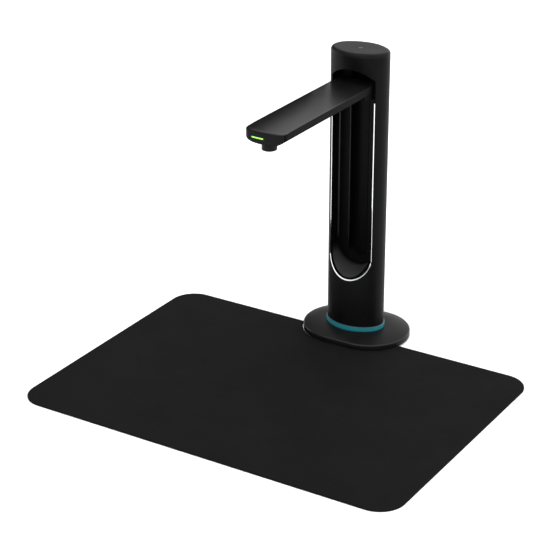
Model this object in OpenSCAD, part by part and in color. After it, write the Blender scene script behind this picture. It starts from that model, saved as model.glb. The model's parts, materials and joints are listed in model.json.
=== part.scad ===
// Overhead document scanner: an oval column on a weighted foot, with a camera arm
// that folds down into a slot in the column, and a desk mat under the lens.
// Millimetres. The origin is on the table under the column's centre, +Z is up, and
// the arm points to -Y, over the mat.

/* [Mat] */
// Width of the mat, side to side
mat_w = 478; // [420:1:600]
// Depth of the mat, front to back
mat_d = 341; // [300:1:420]
// Thickness of the mat
mat_t = 2; // [1:0.5:4]
// Radius of the mat's corners
mat_corner_r = 30; // [5:1:60]
// Distance from the column's centre forward to the mat's back edge
mat_back = 10; // [0:1:30]
// Room between the base and the mat's notch, in front
notch_gap = 0.6; // [0.3:0.1:3]
// Extra room at each end of the notch
notch_end_gap = 2; // [0:0.5:6]

/* [Base] */
// Width of the base, end to end
base_w = 132.8; // [115:0.1:170]
// Depth of the base, front to back
base_d = 99.8; // [86:0.1:116]
// Height of the base's side wall above the table
base_rim_h = 8.5; // [7:0.5:14]
// Rise of the base's crown above its side wall
base_crown = 5.5; // [4:0.5:10]
// Distance of the base's centre behind the column's centre
base_back = 3; // [0:0.5:6]
// Width of the flat top of the crown, measured from its middle line
crown_flat = 20; // [8:1:26]
// Bevel along the upper edge of the base
base_bevel = 0.8; // [0.2:0.1:1.5]
// Wall of the base's two mouldings
base_wall = 2; // [1.5:0.1:3]
// Height of the lower moulding's edge above the table
tray_h = 6; // [5:0.5:6.5]
// Thickness of the rubber sole
pad_t = 2; // [1.2:0.1:3]
// How far the sole stands proud of the base
pad_proud = 1; // [0.5:0.1:1.1]
// Border of the base outside the sole
pad_border = 3; // [2:0.5:8]
// Border between the base's edge and the steel weight
weight_border = 10.5; // [10:0.5:16]
// Thickness of the steel weight
weight_t = 5; // [3:0.5:6]

/* [Light ring] */
// Height of the light ring that shows above the crown
ring_h = 5.5; // [3:0.5:10]
// How far the ring stands proud of the column
ring_proud = 1.2; // [0.4:0.1:3]
// Depth of the groove that seats the ring
ring_seat = 1; // [0.5:0.1:1.2]
// Rounding of the ring's upper edge
ring_edge_r = 1; // [0.3:0.1:1.5]

/* [Column] */
// Height of the column's top above the table
column_top = 357.5; // [350:0.5:400]
// Depth of the column, front to back
column_d = 51.4; // [48:0.2:60]
// Width of the column's post on each side of the slot
column_side = 7.4; // [7.2:0.1:14]
// Radius of the column's two narrow ends
column_end_r = 20; // [16:0.5:22]
// Wall of the column's shells
column_wall = 2.5; // [2:0.1:3.2]
// Where the front and rear shells meet, behind the column's centre
shell_split = 9; // [8.5:0.5:12]
// Height of the cap on the column
cap_h = 5; // [4.5:0.1:8]
// Rounding of the cap's edge
cap_edge_r = 4; // [1:0.5:4]
// Thickness of the cap's top
cap_skin = 2.5; // [2:0.1:3]
// Radius of the touch key on the cap
key_r = 4.5; // [3:0.5:9]
// Thickness of the touch key
key_t = 0.8; // [0.4:0.1:1.2]
// Height of the foot casting inside the column
foot_h = 32; // [20:1:36]
// Thickness of the foot casting's floor
foot_floor = 3; // [2:0.5:5]
// Distance of the foot's bolts to each side of the middle
bolt_x = 16; // [12:1:22]
// Distance of the foot's bolts in front of and behind the middle
bolt_y = 9; // [6:0.5:11]

/* [Slot] */
// Distance from the column's top down to the slot's arched upper end
arch_drop = 19.2; // [14:0.1:24]
// Radius of the slot's arch
arch_r = 38; // [32:1:80]
// Rounding where the arch meets the slot's sides
arch_corner_r = 4; // [1:0.5:8]
// Width of the bright trim along the slot
trim_w = 2.2; // [1:0.1:2.4]
// Distance from the arm's belly down to the trim's upper ends
trim_drop = 5; // [1:0.5:100]
// How far the trim lies below the column's surface
trim_set = 0.3; // [0.1:0.1:1]
// Slope of the finger scoop under the arm's tip, in degrees
scoop_rise = 28.6; // [20:0.2:36]
// Room below the folded arm's tip, for the fingers
finger_room = 14.5; // [12:0.5:30]
// Distance from the pocket's floor down to the slot's round lower end
scoop_drop = 12.9; // [8:0.1:14]
// Room beside the folded lens in its trough
trough_room = 3.5; // [2.5:0.1:6]
// Distance from the folded arm's tip up to the middle of the trough's round lower end
trough_rise = 5.5; // [0:0.5:8]
// Wall of the pocket's lining
liner_wall = 1.5; // [1.2:0.1:2]

/* [Arm] */
// Width of the arm
arm_w = 50; // [44:1:56]
// Distance from the column's top down to the arm's upper face
arm_drop = 37; // [34:0.5:40]
// Distance from the column's centre to the arm's tip
arm_reach = 209.5; // [190:0.5:216]
// Height of the arm's upright side walls
arm_side_h = 8.5; // [7:0.5:10]
// Depth of the arm's curved belly below its side walls
belly_sag = 7; // [5:0.5:8]
// Radius of the corners of the tip, seen from above
tip_corner_r = 8; // [4:0.5:12]
// Radius of the slight bow of the tip, seen from above
tip_bow_r = 120; // [60:5:400]
// Rounding of the tip's upper edge
tip_top_r = 3; // [1:0.5:5]
// Rounding of the tip's lower edge
tip_low_r = 3.5; // [3:0.5:6.5]
// Wall of the arm's two mouldings
arm_wall = 1.8; // [1.4:0.1:2]
// Room between the arm and the trim on each side
arm_gap = 1.2; // [0.4:0.1:1.4]
// Length of the hinge casting in front of the pin
knuckle_l = 28; // [24:1:32]

/* [Hinge] */
// Distance of the hinge pin in front of the column's centre
hinge_front = 6; // [4:0.5:6.5]
// Diameter of the hinge pin
pin_d = 5; // [4:0.5:6]
// Running clearance round the pin
pin_fit = 0.05; // [0.02:0.01:0.1]
// Radius of the hinge casting round the pin
knuckle_r = 6.4; // [5.6:0.1:6.6]
// Room between the hinge casting and the back of the pocket
knuckle_gap = 0.6; // [0.4:0.1:1.2]
// Thickness of the steel hinge brackets
bracket_t = 1.2; // [1:0.1:1.3]
// Height of the hinge brackets
bracket_h = 36; // [26:1:40]

/* [Lens] */
// Diameter of the lens barrel
lens_d = 17; // [10:0.2:18]
// Distance from the lens axis back from the tip
lens_back = 13.9; // [8.6:0.1:16]
// How far the barrel stands below the belly
lens_drop = 8.3; // [4:0.1:10]
// Length of the status light on the tip
status_w = 17.4; // [10:0.2:24]
// Height of the status light
status_h = 2.5; // [1.5:0.1:2.8]
// Offset of the status light to the left of the middle
status_x = 6.5; // [0:0.5:8]
// Width of the lamp window under the arm
lamp_w = 14; // [8:1:16]
// Length of the lamp window
lamp_l = 48; // [20:1:52]
// Distance from the lens axis back to the lamp window
lamp_back = 25; // [22:1:40]

/* [Electronics] */
// Thickness of the circuit boards
board_t = 1.6; // [1:0.1:2]
// Length of the main board
board_l = 155; // [120:1:160]
// Height of the main board's lower edge above the table
board_low = 60; // [56:1:70]
// Room between the main board and the rear shell
board_room = 5; // [4.4:0.1:6]
// Length of the bosses under the main board
boss_h = 2.1; // [1.5:0.1:3]
// Height of the data socket above the board's lower edge
socket_up = 6; // [5:0.5:12]
// Width of the ribbon cables
ribbon_w = 10; // [6:1:14]
// Thickness of the ribbon cables
ribbon_t = 0.3; // [0.2:0.1:0.5]
// Distance from the hinge pin down to the ribbon's passage
ribbon_drop = 12; // [10:0.5:16]

/* [Hidden] */
$fn = 72;
fit = 0.1;
seat = 0.05;
big = 400;

// Base
base_r = base_d / 2;
base_half = (base_w - base_d) / 2;
dome_run = base_r - crown_flat;
dome_r = (pow(dome_run, 2) + pow(base_crown, 2)) / (2 * base_crown);
crown_h = base_rim_h + base_crown;
tray_low = pad_proud;
tray_floor = pad_t + 1.6;
weight_top = tray_floor + weight_t;
base_screw_r = base_r - 6.5;
base_screw_turn = 35;
post_r = 2.8;

// Slot and column outline
slot_half = arm_w / 2 + arm_gap + trim_w;
end_r = column_end_r;
end_x = slot_half + column_side - end_r;
half_d = column_d / 2;
bulge = half_d - end_r;
side_y = (pow(end_x, 2) - pow(bulge, 2)) / (2 * bulge);
side_r = half_d + side_y;
centre_gap = norm([end_x, side_y]);
ring_low = crown_h - ring_seat;
column_low = crown_h + ring_h;
shell_top = column_top - cap_h;
foot_top = weight_top + foot_h;
lip_t = 1.2;
slot_high = column_top - arch_drop;
arch_mid = slot_high - arch_r;
corner_x = slot_half - arch_corner_r;
corner_z = arch_mid + sqrt(pow(arch_r - arch_corner_r, 2) - pow(corner_x, 2));
arch_x = corner_x * arch_r / (arch_r - arch_corner_r);

// Hinge: the arm folds flush with the slot's edges
arm_top_h = column_top - arm_drop;
hinge_y = -hinge_front;
fold_y = side_y - sqrt(pow(side_r, 2) - pow(arm_w / 2, 2));
hinge_z = arm_top_h - (hinge_y - fold_y);
tip_fold_z = hinge_z - (arm_reach - hinge_front);
pin_r = pin_d / 2;
pin_half = end_x + sqrt(pow(end_r - column_wall, 2) - pow(hinge_front + pin_r, 2)) - 0.3;

// Main board and pocket, stacked from the back of the column
pocket_low = tip_fold_z - finger_room;
slot_low = pocket_low - scoop_drop;
slot_mid = slot_low + slot_half;
board_back = half_d - column_wall - board_room;
board_front = board_back - board_t;
trough_back = board_front - boss_h - liner_wall;
shelf_y = hinge_y + knuckle_r + knuckle_gap;
pocket_half = slot_half - trim_w + 0.6;
liner_half = pocket_half + liner_wall;
trough_half = lens_d / 2 + trough_room;
scoop_r = slot_half - trim_w;
pocket_mid = pocket_low + pocket_half;
liner_top = slot_high + 4;
trough_mid = tip_fold_z + trough_rise;
board_half = sqrt(pow(side_r - column_wall, 2) - pow(board_back + side_y, 2)) - 2.5;
board_screw_x = 9;
board_screw_up = 15;
board_screw_z = [trough_mid + board_screw_up, board_low + board_l - board_screw_up / 2];
// Chips of the main board: width, height, thickness and place along the board
board_chips = [[6, 6, 2, 0.2], [14, 14, 1.4, 0.55], [10, 8, 1.2, 0.69], [ribbon_w + 2, 5, 2, 0.84]];

// Hinge brackets
bracket_x = liner_half + seat;
bracket_low = hinge_z - bracket_h / 2;
lug_l = 3.5;
lug_x = trough_half + liner_wall + 5;
lug_y = shelf_y + liner_wall;
lug_z = [bracket_low + 6, bracket_low + bracket_h - 6];
flange_y = lug_y + lug_l;
clip_t = 0.6;
clip_r = pin_r + 0.6;
clip_x = bracket_x + bracket_t + seat;

// Arm
parting = arm_top_h - arm_side_h;
belly_low = parting - belly_sag;
trim_high = belly_low - trim_drop;
belly_r = (pow(arm_w / 2, 2) + pow(belly_sag, 2)) / (2 * belly_sag);
arm_root = hinge_y + 5;
belly_back = hinge_y - knuckle_l;
ceiling = arm_top_h - arm_wall;
tongue_l = 18;
tongue_w = 26;
tongue_t = 2.7;
tongue_low = parting - 0.1 - tongue_t;
arm_screw_x = 9;
arm_screw_in = 10;
arm_screw_gap = 64;
arm_screw_y = [belly_back - arm_screw_in, belly_back - arm_screw_in - arm_screw_gap];
ribbon_end = hinge_y - 8;

// Lens and camera
lens_y = -arm_reach + lens_back;
lens_low = belly_low - lens_drop;
lens_flange_low = belly_low + arm_wall + 0.8;
lens_flange_t = 1.4;
lens_flange_r = lens_d / 2 + 0.6;
holder_low = lens_flange_low + lens_flange_t + seat;
holder_half = lens_d / 2;
camera_low = holder_low + 5;
camera_front = -arm_reach + arm_wall + 2.2;
camera_half = 19;
camera_back = lens_y + camera_half;
camera_screw_x = 16;
camera_screw_y = [camera_front + 3, camera_back - 3];
status_z = parting + 0.5;
lamp_front = lens_y + lamp_back;
lamp_mid = lamp_front + lamp_l / 2;
lamp_half = (lamp_l - lamp_w) / 2;
lamp_board_w = lamp_w + 4;
belly_mid = belly_low + belly_r;
lamp_board_low = belly_mid + seat - sqrt(pow(belly_r - arm_wall, 2) - pow(lamp_board_w / 2, 2));

// Data socket
socket_z = board_low + socket_up;
socket_w = 8.94;
socket_t = 3.26;
socket_skin = 0.35;
socket_back = half_d - 0.4;

// Shapes that several pieces share

// Solid between two heights, over everything
module layer(low, high) {
    translate([-big, -big, low]) cube([2 * big, 2 * big, high - low]);
}

// Solid between two depths, over everything
module slab(front, back) {
    translate([-big, front, -big]) cube([2 * big, back - front, 3 * big]);
}

// Turns a drawing of width and height into a prism from front to back
module through(front, back) {
    translate([0, back, 0]) rotate([90, 0, 0]) linear_extrude(back - front) children();
}

// Turns a drawing of depth and height into a prism across the part
module across(half) {
    rotate([90, 0, 90]) linear_extrude(2 * half, center = true) children();
}

// Rod along X, between two places
module rod(x0, x1, y, z, r) {
    translate([x0, y, z]) rotate([0, 90, 0]) cylinder(r = r, h = x1 - x0);
}

// Outline with straight sides and round ends
module stadium(half, r) {
    translate([-half, -r]) square([2 * half, 2 * r]);
    for (s = [-1, 1]) translate([s * half, 0]) circle(r);
}

// Outline of the base, drawn in by a border
module base_outline(border) {
    translate([0, base_back]) stadium(base_half, base_r - border);
}

// Carries a half profile of radius and height round the base
module base_turn() {
    translate([0, base_back, 0]) {
        for (s = [-1, 1]) translate([s * base_half, 0, 0]) rotate_extrude() children();
        across(base_half) {
            children();
            mirror([1, 0]) children();
        }
    }
}

// Outline of the column, grown or shrunk all round
module oval(grow = 0) {
    touch_x = end_x + (end_r + grow) * end_x / centre_gap;
    for (s = [-1, 1]) translate([s * end_x, 0]) circle(end_r + grow);
    intersection() {
        translate([0, side_y]) circle(side_r + grow);
        translate([0, -side_y]) circle(side_r + grow);
        square([2 * touch_x, 2 * column_d], center = true);
    }
}

// Upright prism of the column's outline
module oval_prism(low, high, grow = 0) {
    translate([0, 0, low]) linear_extrude(high - low) oval(grow);
}

// Carries a profile round the column's outline: its X is 0 on the outline, inward negative
module oval_turn() {
    for (s = [-1, 1]) {
        translate([s * end_x, 0, 0]) rotate_extrude() intersection() {
            translate([end_r, 0]) children();
            square([big, big]);
        }
        intersection() {
            translate([0, s * side_y, 0]) rotate_extrude() intersection() {
                translate([side_r, 0]) children();
                square([big, big]);
            }
            linear_extrude(big)
                polygon([[0, s * side_y], [-4 * end_x, -3 * s * side_y], [4 * end_x, -3 * s * side_y]]);
        }
    }
}

// Profile of a block whose outer upper edge is rounded
module rounded_profile(low, high, out, r) {
    run = side_r - end_r / 2;
    translate([out - run, low]) square([run, high - low - r]);
    translate([out - run, low]) square([run - r, high - low]);
    translate([out - r, high - r]) circle(r);
}

// Slot of the column seen from the front, grown or shrunk all round
module slot_face(grow = 0) {
    half = slot_half + grow;
    translate([0, slot_mid]) circle(half);
    translate([-half, slot_mid]) square([2 * half, corner_z - slot_mid]);
    for (s = [-1, 1]) translate([s * corner_x, corner_z]) circle(arch_corner_r + grow);
    intersection() {
        translate([0, arch_mid]) circle(arch_r + grow);
        translate([-arch_x, corner_z - arch_corner_r]) square([2 * arch_x, big]);
    }
}

// Screw with its head down, or up when it is flipped
module screw(head_r, head_h, shaft_r, shaft_l) {
    cylinder(r = head_r, h = head_h);
    translate([0, 0, head_h - seat]) cylinder(r = shaft_r, h = shaft_l + seat);
}

// Places for the screws of the base
module at_base_screws() {
    for (sx = [-1, 1], sy = [-1, 1])
        translate([
            sx * (base_half + base_screw_r * cos(base_screw_turn)),
            base_back + sy * base_screw_r * sin(base_screw_turn),
            0
        ]) children();
}

// Places for the bolts of the column's foot
module at_foot_bolts() {
    for (sx = [-1, 1], sy = [-1, 1]) translate([sx * bolt_x, sy * bolt_y, 0]) children();
}

// Places for the screws of the main board, their axes towards the front
module at_board_screws() {
    for (sx = [-1, 1], z = board_screw_z)
        translate([sx * board_screw_x, 0, z]) rotate([90, 0, 0]) children();
}

// Places for the screws of the hinge brackets, their axes towards the front
module at_lugs() {
    for (sx = [-1, 1], z = lug_z) translate([sx * lug_x, 0, z]) rotate([90, 0, 0]) children();
}

// Places for the screws of the arm
module at_arm_screws(ys = arm_screw_y) {
    for (sx = [-1, 1], y = ys) translate([sx * arm_screw_x, y, 0]) children();
}

// Places for the screws of the camera board
module at_camera_screws() {
    for (sx = [-1, 1], y = camera_screw_y) translate([sx * camera_screw_x, y, 0]) children();
}

// Mat

module mat() {
    inner = mat_corner_r;
    color([0.10, 0.10, 0.11]) linear_extrude(mat_t) difference() {
        translate([0, -mat_back - mat_d / 2]) union() {
            square([mat_w - 2 * inner, mat_d], center = true);
            square([mat_w, mat_d - 2 * inner], center = true);
            for (sx = [-1, 1], sy = [-1, 1])
                translate([sx * (mat_w / 2 - inner), sy * (mat_d / 2 - inner)]) circle(inner);
        }
        translate([0, base_back]) stadium(base_half + notch_end_gap, base_r + notch_gap);
    }
}

// Base

module base_pad() {
    color([0.06, 0.06, 0.06]) linear_extrude(pad_t) base_outline(pad_border);
}

module base_tray() {
    color([0.11, 0.11, 0.12]) difference() {
        translate([0, 0, tray_low]) linear_extrude(tray_h - tray_low) base_outline(0);
        linear_extrude(pad_t) base_outline(pad_border - fit);
        translate([0, 0, tray_floor]) linear_extrude(big) base_outline(base_wall);
        at_base_screws() cylinder(r = 1.6, h = big);
        at_base_screws() cylinder(r = 2.6, h = pad_t + 0.8);
    }
}

module base_weight() {
    color([0.55, 0.56, 0.58]) difference() {
        translate([0, 0, tray_floor]) linear_extrude(weight_t) base_outline(weight_border);
        at_foot_bolts() cylinder(r = 1.5, h = big);
    }
}

// Half profile of the crown above a height, shrunk by the moulding's wall for its inside
module crown_profile(shrink, low = tray_h) {
    intersection() {
        translate([0, low]) square([base_r - shrink, big]);
        union() {
            square([crown_flat, crown_h - shrink]);
            translate([crown_flat, crown_h - dome_r]) circle(dome_r - shrink);
        }
    }
}

module base_cover() {
    color([0.11, 0.11, 0.12]) difference() {
        union() {
            difference() {
                base_turn() difference() {
                    crown_profile(0);
                    translate([base_r, base_rim_h]) rotate(45)
                        square(base_bevel * sqrt(2), center = true);
                }
                base_turn() crown_profile(base_wall, tray_h - 1);
            }
            intersection() {
                at_base_screws() translate([0, 0, tray_floor + seat]) cylinder(r = post_r, h = big);
                base_turn() crown_profile(base_wall / 2, 0);
            }
        }
        oval_prism(tray_h - 1, big, -column_wall);
        oval_prism(ring_low, big, ring_proud + fit);
        at_base_screws() translate([0, 0, tray_floor]) cylinder(r = 1.25, h = 4.5);
    }
}

module base_screws() {
    color([0.7, 0.7, 0.72])
        at_base_screws() translate([0, 0, pad_t + seat]) screw(2.4, 0.7, 1.2, 4.5);
}

module light_ring() {
    color([0.12, 0.49, 0.53]) difference() {
        oval_turn() rounded_profile(ring_low, column_low, ring_proud, ring_edge_r);
        oval_prism(0, big, -column_wall);
    }
}

module ring_board() {
    leds = 10;
    color([0.05, 0.28, 0.14]) difference() {
        union() {
            oval_prism(weight_top, weight_top + 1, 3);
            for (i = [0:leds - 1])
                rotate(i * 360 / leds) translate([half_d - 1, 0, weight_top + 1.25])
                    cube([1.6, 1.6, 0.7], center = true);
        }
        oval_prism(0, big, -column_wall);
    }
}

// Column

module column_foot() {
    color([0.45, 0.46, 0.48]) difference() {
        oval_prism(weight_top, foot_top, -column_wall - fit);
        oval_prism(weight_top + foot_floor, big, -column_wall - foot_floor);
        at_foot_bolts() cylinder(r = 1.6, h = big);
        translate([-bolt_x / 2, 0, weight_top + foot_floor]) cube([bolt_x, big, big]);
    }
}

module foot_bolts() {
    head_h = 2;
    color([0.7, 0.7, 0.72]) at_foot_bolts() translate([0, 0, weight_top + foot_floor + head_h])
        mirror([0, 0, 1]) screw(2.8, head_h, 1.45, foot_floor + weight_t - 0.5);
}

module column_tube() {
    difference() {
        oval_prism(column_low, shell_top);
        oval_prism(0, big, -column_wall);
    }
}

module column_front() {
    color([0.09, 0.09, 0.10]) difference() {
        intersection() {
            column_tube();
            slab(-big, shell_split);
        }
        through(-big, 0) slot_face();
    }
}

module column_rear() {
    lip_low = foot_top + 3;
    lip_high = shell_top - 8;
    color([0.09, 0.09, 0.10]) difference() {
        union() {
            intersection() {
                column_tube();
                slab(shell_split, big);
            }
            difference() {
                intersection() {
                    oval_prism(lip_low, lip_high, -column_wall - fit);
                    slab(shell_split - 3, shell_split + 2);
                }
                oval_prism(0, big, -column_wall - lip_t);
            }
            difference() {
                intersection() {
                    oval_prism(lip_low, lip_high, -column_wall / 2);
                    slab(shell_split, shell_split + 2);
                }
                oval_prism(0, big, -column_wall - lip_t);
            }
        }
        translate([0, 0, socket_z]) through(half_d - 2 * column_wall, big)
            stadium((socket_w - socket_t) / 2, socket_t / 2 + 0.2);
    }
}

// Block of the column's outline with its upper edge rounded
module rounded_cap() {
    steps = 6;
    edge = column_top - cap_edge_r;
    hull() {
        oval_prism(shell_top, edge);
        for (turn = [90 / steps:90 / steps:90])
            oval_prism(edge, edge + cap_edge_r * sin(turn), cap_edge_r * (cos(turn) - 1));
    }
}

module top_cap() {
    skirt = 4;
    color([0.09, 0.09, 0.10]) difference() {
        union() {
            rounded_cap();
            oval_prism(shell_top - skirt, shell_top + 1, -column_wall - fit);
        }
        oval_prism(0, column_top - cap_skin, -column_wall - 1.6);
        translate([0, 0, column_top - key_t]) cylinder(r = key_r + seat, h = big);
    }
}

module touch_key() {
    color([0.35, 0.36, 0.38]) translate([0, 0, column_top - key_t]) cylinder(r = key_r, h = key_t);
}

module touch_board() {
    touch_t = 1;
    color([0.05, 0.28, 0.14])
        translate([0, 0, column_top - cap_skin - touch_t]) cylinder(r = key_r + 5, h = touch_t);
}

// Slot, pocket and hinge

module slot_trim() {
    color([0.86, 0.87, 0.88]) intersection() {
        through(-big, 0) difference() {
            slot_face();
            slot_face(-trim_w);
        }
        difference() {
            oval_prism(0, trim_high, -trim_set);
            oval_prism(-1, big, -column_wall);
        }
    }
}

// Round-bottomed channel along the slot, seen from the front
module pocket_face(grow) {
    translate([0, pocket_mid]) circle(pocket_half + grow);
    translate([-pocket_half - grow, pocket_mid])
        square([2 * (pocket_half + grow), liner_top - pocket_mid + grow - liner_wall]);
}

// Round-bottomed trough for the lens, seen from the front
module trough_face(grow) {
    translate([0, trough_mid]) circle(trough_half + grow);
    translate([-trough_half - grow, trough_mid])
        square([2 * (trough_half + grow), liner_top - trough_mid + grow - liner_wall]);
}

// Sloping round cut for the fingers, from the slot's lower edge up to the pocket
module scoop(grow) {
    translate([0, -half_d, slot_low + trim_w]) rotate([scoop_rise, 0, 0])
        translate([0, -half_d, scoop_r]) rotate([-90, 0, 0])
            cylinder(r = scoop_r + grow, h = 2 * half_d);
}

module pocket_liner() {
    color([0.05, 0.05, 0.055]) difference() {
        union() {
            intersection() {
                union() {
                    through(-big, shelf_y + liner_wall) pocket_face(liner_wall);
                    intersection() {
                        scoop(liner_wall);
                        slab(-big, shelf_y + liner_wall);
                        layer(0, pocket_mid);
                    }
                    through(0, trough_back + liner_wall) trough_face(liner_wall);
                }
                oval_prism(0, big, -column_wall - seat);
            }
            at_lugs() translate([0, 0, -lug_y - lug_l]) cylinder(r = 2.5, h = lug_l + 0.5);
            at_board_screws() translate([0, 0, -board_front]) cylinder(r = 2.4, h = boss_h + 0.5);
        }
        through(-big, shelf_y) pocket_face(0);
        through(-1, trough_back) trough_face(0);
        intersection() {
            scoop(0);
            slab(-big, shelf_y);
        }
        rod(-big, big, hinge_y, hinge_z, pin_r + 0.3);
        at_lugs() translate([0, 0, -lug_y - lug_l]) cylinder(r = 0.95, h = lug_l);
        at_board_screws() translate([0, 0, -board_front]) cylinder(r = 0.95, h = boss_h);
        translate([-ribbon_w / 2 - 1.5, 0, hinge_z - ribbon_drop]) cube([ribbon_w + 3, big, 4]);
    }
}

// Angle plate beside the pocket that carries one end of the pin
module hinge_bracket() {
    color([0.62, 0.63, 0.65]) difference() {
        intersection() {
            union() {
                translate([bracket_x, hinge_y - 4.2, bracket_low])
                    cube([bracket_t, flange_y + bracket_t - hinge_y + 4.2, bracket_h]);
                translate([lug_x - 3.5, flange_y, bracket_low])
                    cube([bracket_x + bracket_t - lug_x + 3.5, bracket_t, bracket_h]);
            }
            oval_prism(0, big, -column_wall - lip_t - fit);
        }
        rod(0, big, hinge_y, hinge_z, pin_r + 0.02);
        at_lugs() translate([0, 0, -big]) cylinder(r = 1.1, h = big);
    }
}

module hinge_bracket_left() {
    mirror([1, 0, 0]) hinge_bracket();
}

module hinge_bracket_right() {
    hinge_bracket();
}

module bracket_screws() {
    color([0.7, 0.7, 0.72]) at_lugs()
        translate([0, 0, -flange_y - bracket_t - 1]) screw(1.9, 1, 0.9, bracket_t + lug_l - 0.3);
}

module hinge_pin() {
    color([0.75, 0.76, 0.78]) difference() {
        rod(-pin_half, pin_half, hinge_y, hinge_z, pin_r);
        for (s = [-1, 1]) difference() {
            rod(s * clip_x - (s < 0 ? clip_t : 0), s * clip_x + (s > 0 ? clip_t : 0), hinge_y, hinge_z, big);
            rod(-big, big, hinge_y, hinge_z, pin_r - 0.4);
        }
    }
}

module pin_clips() {
    color([0.5, 0.51, 0.53]) difference() {
        for (s = [-1, 1])
            rod(s * (clip_x + clip_t / 2) - clip_t / 2 + seat / 2,
                s * (clip_x + clip_t / 2) + clip_t / 2 - seat / 2, hinge_y, hinge_z, clip_r);
        rod(-big, big, hinge_y, hinge_z, pin_r - 0.4 + seat / 2);
    }
}

module friction_washers() {
    x_in = arm_w / 2 + 0.25;
    x_out = pocket_half - seat;
    color([0.72, 0.58, 0.30]) difference() {
        for (s = [-1, 1]) rod(min(s * x_in, s * x_out), max(s * x_in, s * x_out), hinge_y, hinge_z, 5.6);
        rod(-big, big, hinge_y, hinge_z, pin_r + seat);
    }
}

// Electronics in the column

module main_board() {
    color([0.05, 0.28, 0.14]) difference() {
        union() {
            translate([-board_half, board_front, board_low]) cube([2 * board_half, board_t, board_l]);
            for (chip = board_chips)
                translate([-chip[0] / 2, board_back - seat, board_low + chip[3] * board_l])
                    cube([chip[0], chip[2], chip[1]]);
        }
        at_board_screws() translate([0, 0, -big]) cylinder(r = 1.1, h = big);
    }
}

module board_screws() {
    color([0.7, 0.7, 0.72]) at_board_screws()
        translate([0, 0, -board_back - 1]) screw(1.9, 1, 0.9, board_t + boss_h - 0.2);
}

module data_socket() {
    half = (socket_w - socket_t) / 2;
    r = socket_t / 2;
    color([0.72, 0.73, 0.75]) translate([0, 0, socket_z]) {
        difference() {
            through(board_back, socket_back) stadium(half, r);
            through(board_back + 1, big) stadium(half, r - socket_skin);
        }
        translate([-3.3, board_back + 0.5, -0.35]) cube([6.6, socket_back - board_back - 1.4, 0.7]);
    }
}

module column_ribbon() {
    color([0.85, 0.84, 0.80])
        translate([-ribbon_w / 2, trough_back + liner_wall + seat, board_low + board_l + 1])
            cube([ribbon_w, ribbon_t, hinge_z - ribbon_drop - board_low - board_l - 1]);
}

// Arm

// Arm seen from above
module arm_plan(shrink) {
    half = arm_w / 2 - shrink;
    tip = -arm_reach + shrink;
    corner = tip_corner_r - shrink;
    intersection() {
        union() {
            translate([-half, tip + corner]) square([2 * half, big]);
            translate([corner - half, tip]) square([2 * (half - corner), big]);
            for (s = [-1, 1]) translate([s * (half - corner), tip + corner]) circle(corner);
        }
        translate([0, tip_bow_r - arm_reach]) circle(tip_bow_r - shrink);
    }
}

// Arm seen from the side
module arm_side(shrink) {
    tip = -arm_reach + shrink;
    low = belly_low + shrink;
    high = arm_top_h - shrink;
    r_low = tip_low_r - shrink;
    r_high = tip_top_r - min(shrink, tip_top_r - 0.5);
    translate([tip, low + r_low]) square([arm_reach, high - r_high - low - r_low]);
    translate([tip + r_low, low]) square([arm_reach, r_low]);
    translate([tip + r_high, high - r_high]) square([arm_reach, r_high]);
    translate([tip + r_low, low + r_low]) circle(r_low);
    translate([tip + r_high, high - r_high]) circle(r_high);
}

// Cross-section of the arm: upright sides over a curved belly
module arm_section(shrink) {
    intersection() {
        translate([shrink - arm_w / 2, belly_low])
            square([arm_w - 2 * shrink, arm_top_h - shrink - belly_low]);
        translate([0, belly_mid]) circle(belly_r - shrink);
    }
}

// Outer form of the arm, or the hollow inside its walls, back to a given depth
module arm_form(shrink, back) {
    intersection() {
        translate([0, 0, belly_low - 1]) linear_extrude(arm_top_h) arm_plan(shrink);
        across(big) arm_side(shrink);
        through(-big, back) arm_section(shrink);
    }
}

module arm_top() {
    color([0.10, 0.10, 0.11]) difference() {
        union() {
            difference() {
                arm_form(0, arm_root);
                arm_form(arm_wall, arm_root + 1);
                layer(0, parting);
            }
            at_arm_screws([arm_screw_y[0]])
                translate([0, 0, parting]) cylinder(r = 3, h = ceiling - parting + 0.5);
            at_arm_screws([arm_screw_y[1]])
                translate([0, 0, tongue_low]) cylinder(r = 3, h = ceiling - tongue_low + 0.5);
            at_camera_screws() translate([0, 0, camera_low + board_t + seat])
                cylinder(r = 2.2, h = ceiling - camera_low - board_t);
        }
        at_arm_screws() translate([0, 0, belly_low]) cylinder(r = 1.05, h = arm_side_h + belly_sag - 3);
        at_camera_screws() cylinder(r = 0.85, h = ceiling);
        status_window(0.05);
    }
}

// Window in the belly for the lamp
module lamp_window(grow) {
    translate([0, lamp_mid, belly_low - 1]) rotate(90)
        linear_extrude(arm_side_h + belly_sag) stadium(lamp_half, lamp_w / 2 + grow);
}

// Long slot in the tip for the status light
module status_window(grow) {
    translate([-status_x, 0, status_z]) through(-big, -arm_reach + arm_wall + 1.6)
        stadium((status_w - status_h) / 2, status_h / 2 + grow);
}

module arm_belly() {
    color([0.09, 0.09, 0.10]) difference() {
        union() {
            difference() {
                arm_form(0, belly_back);
                arm_form(arm_wall, belly_back + 1);
                layer(parting, big);
            }
            intersection() {
                arm_form(0, belly_back);
                at_arm_screws() translate([0, 0, belly_low])
                    cylinder(r = 3.4, h = tongue_low - belly_low - seat);
            }
        }
        translate([0, lens_y, 0]) cylinder(r = lens_d / 2 + fit, h = big);
        translate([0, lens_y, lens_flange_low - seat]) cylinder(r = lens_flange_r + fit, h = big);
        lamp_window(0.05);
        status_window(0.05);
        at_arm_screws() cylinder(r = 1.2, h = big);
        at_arm_screws() cylinder(r = 2.2, h = belly_low + 2);
    }
}

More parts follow.
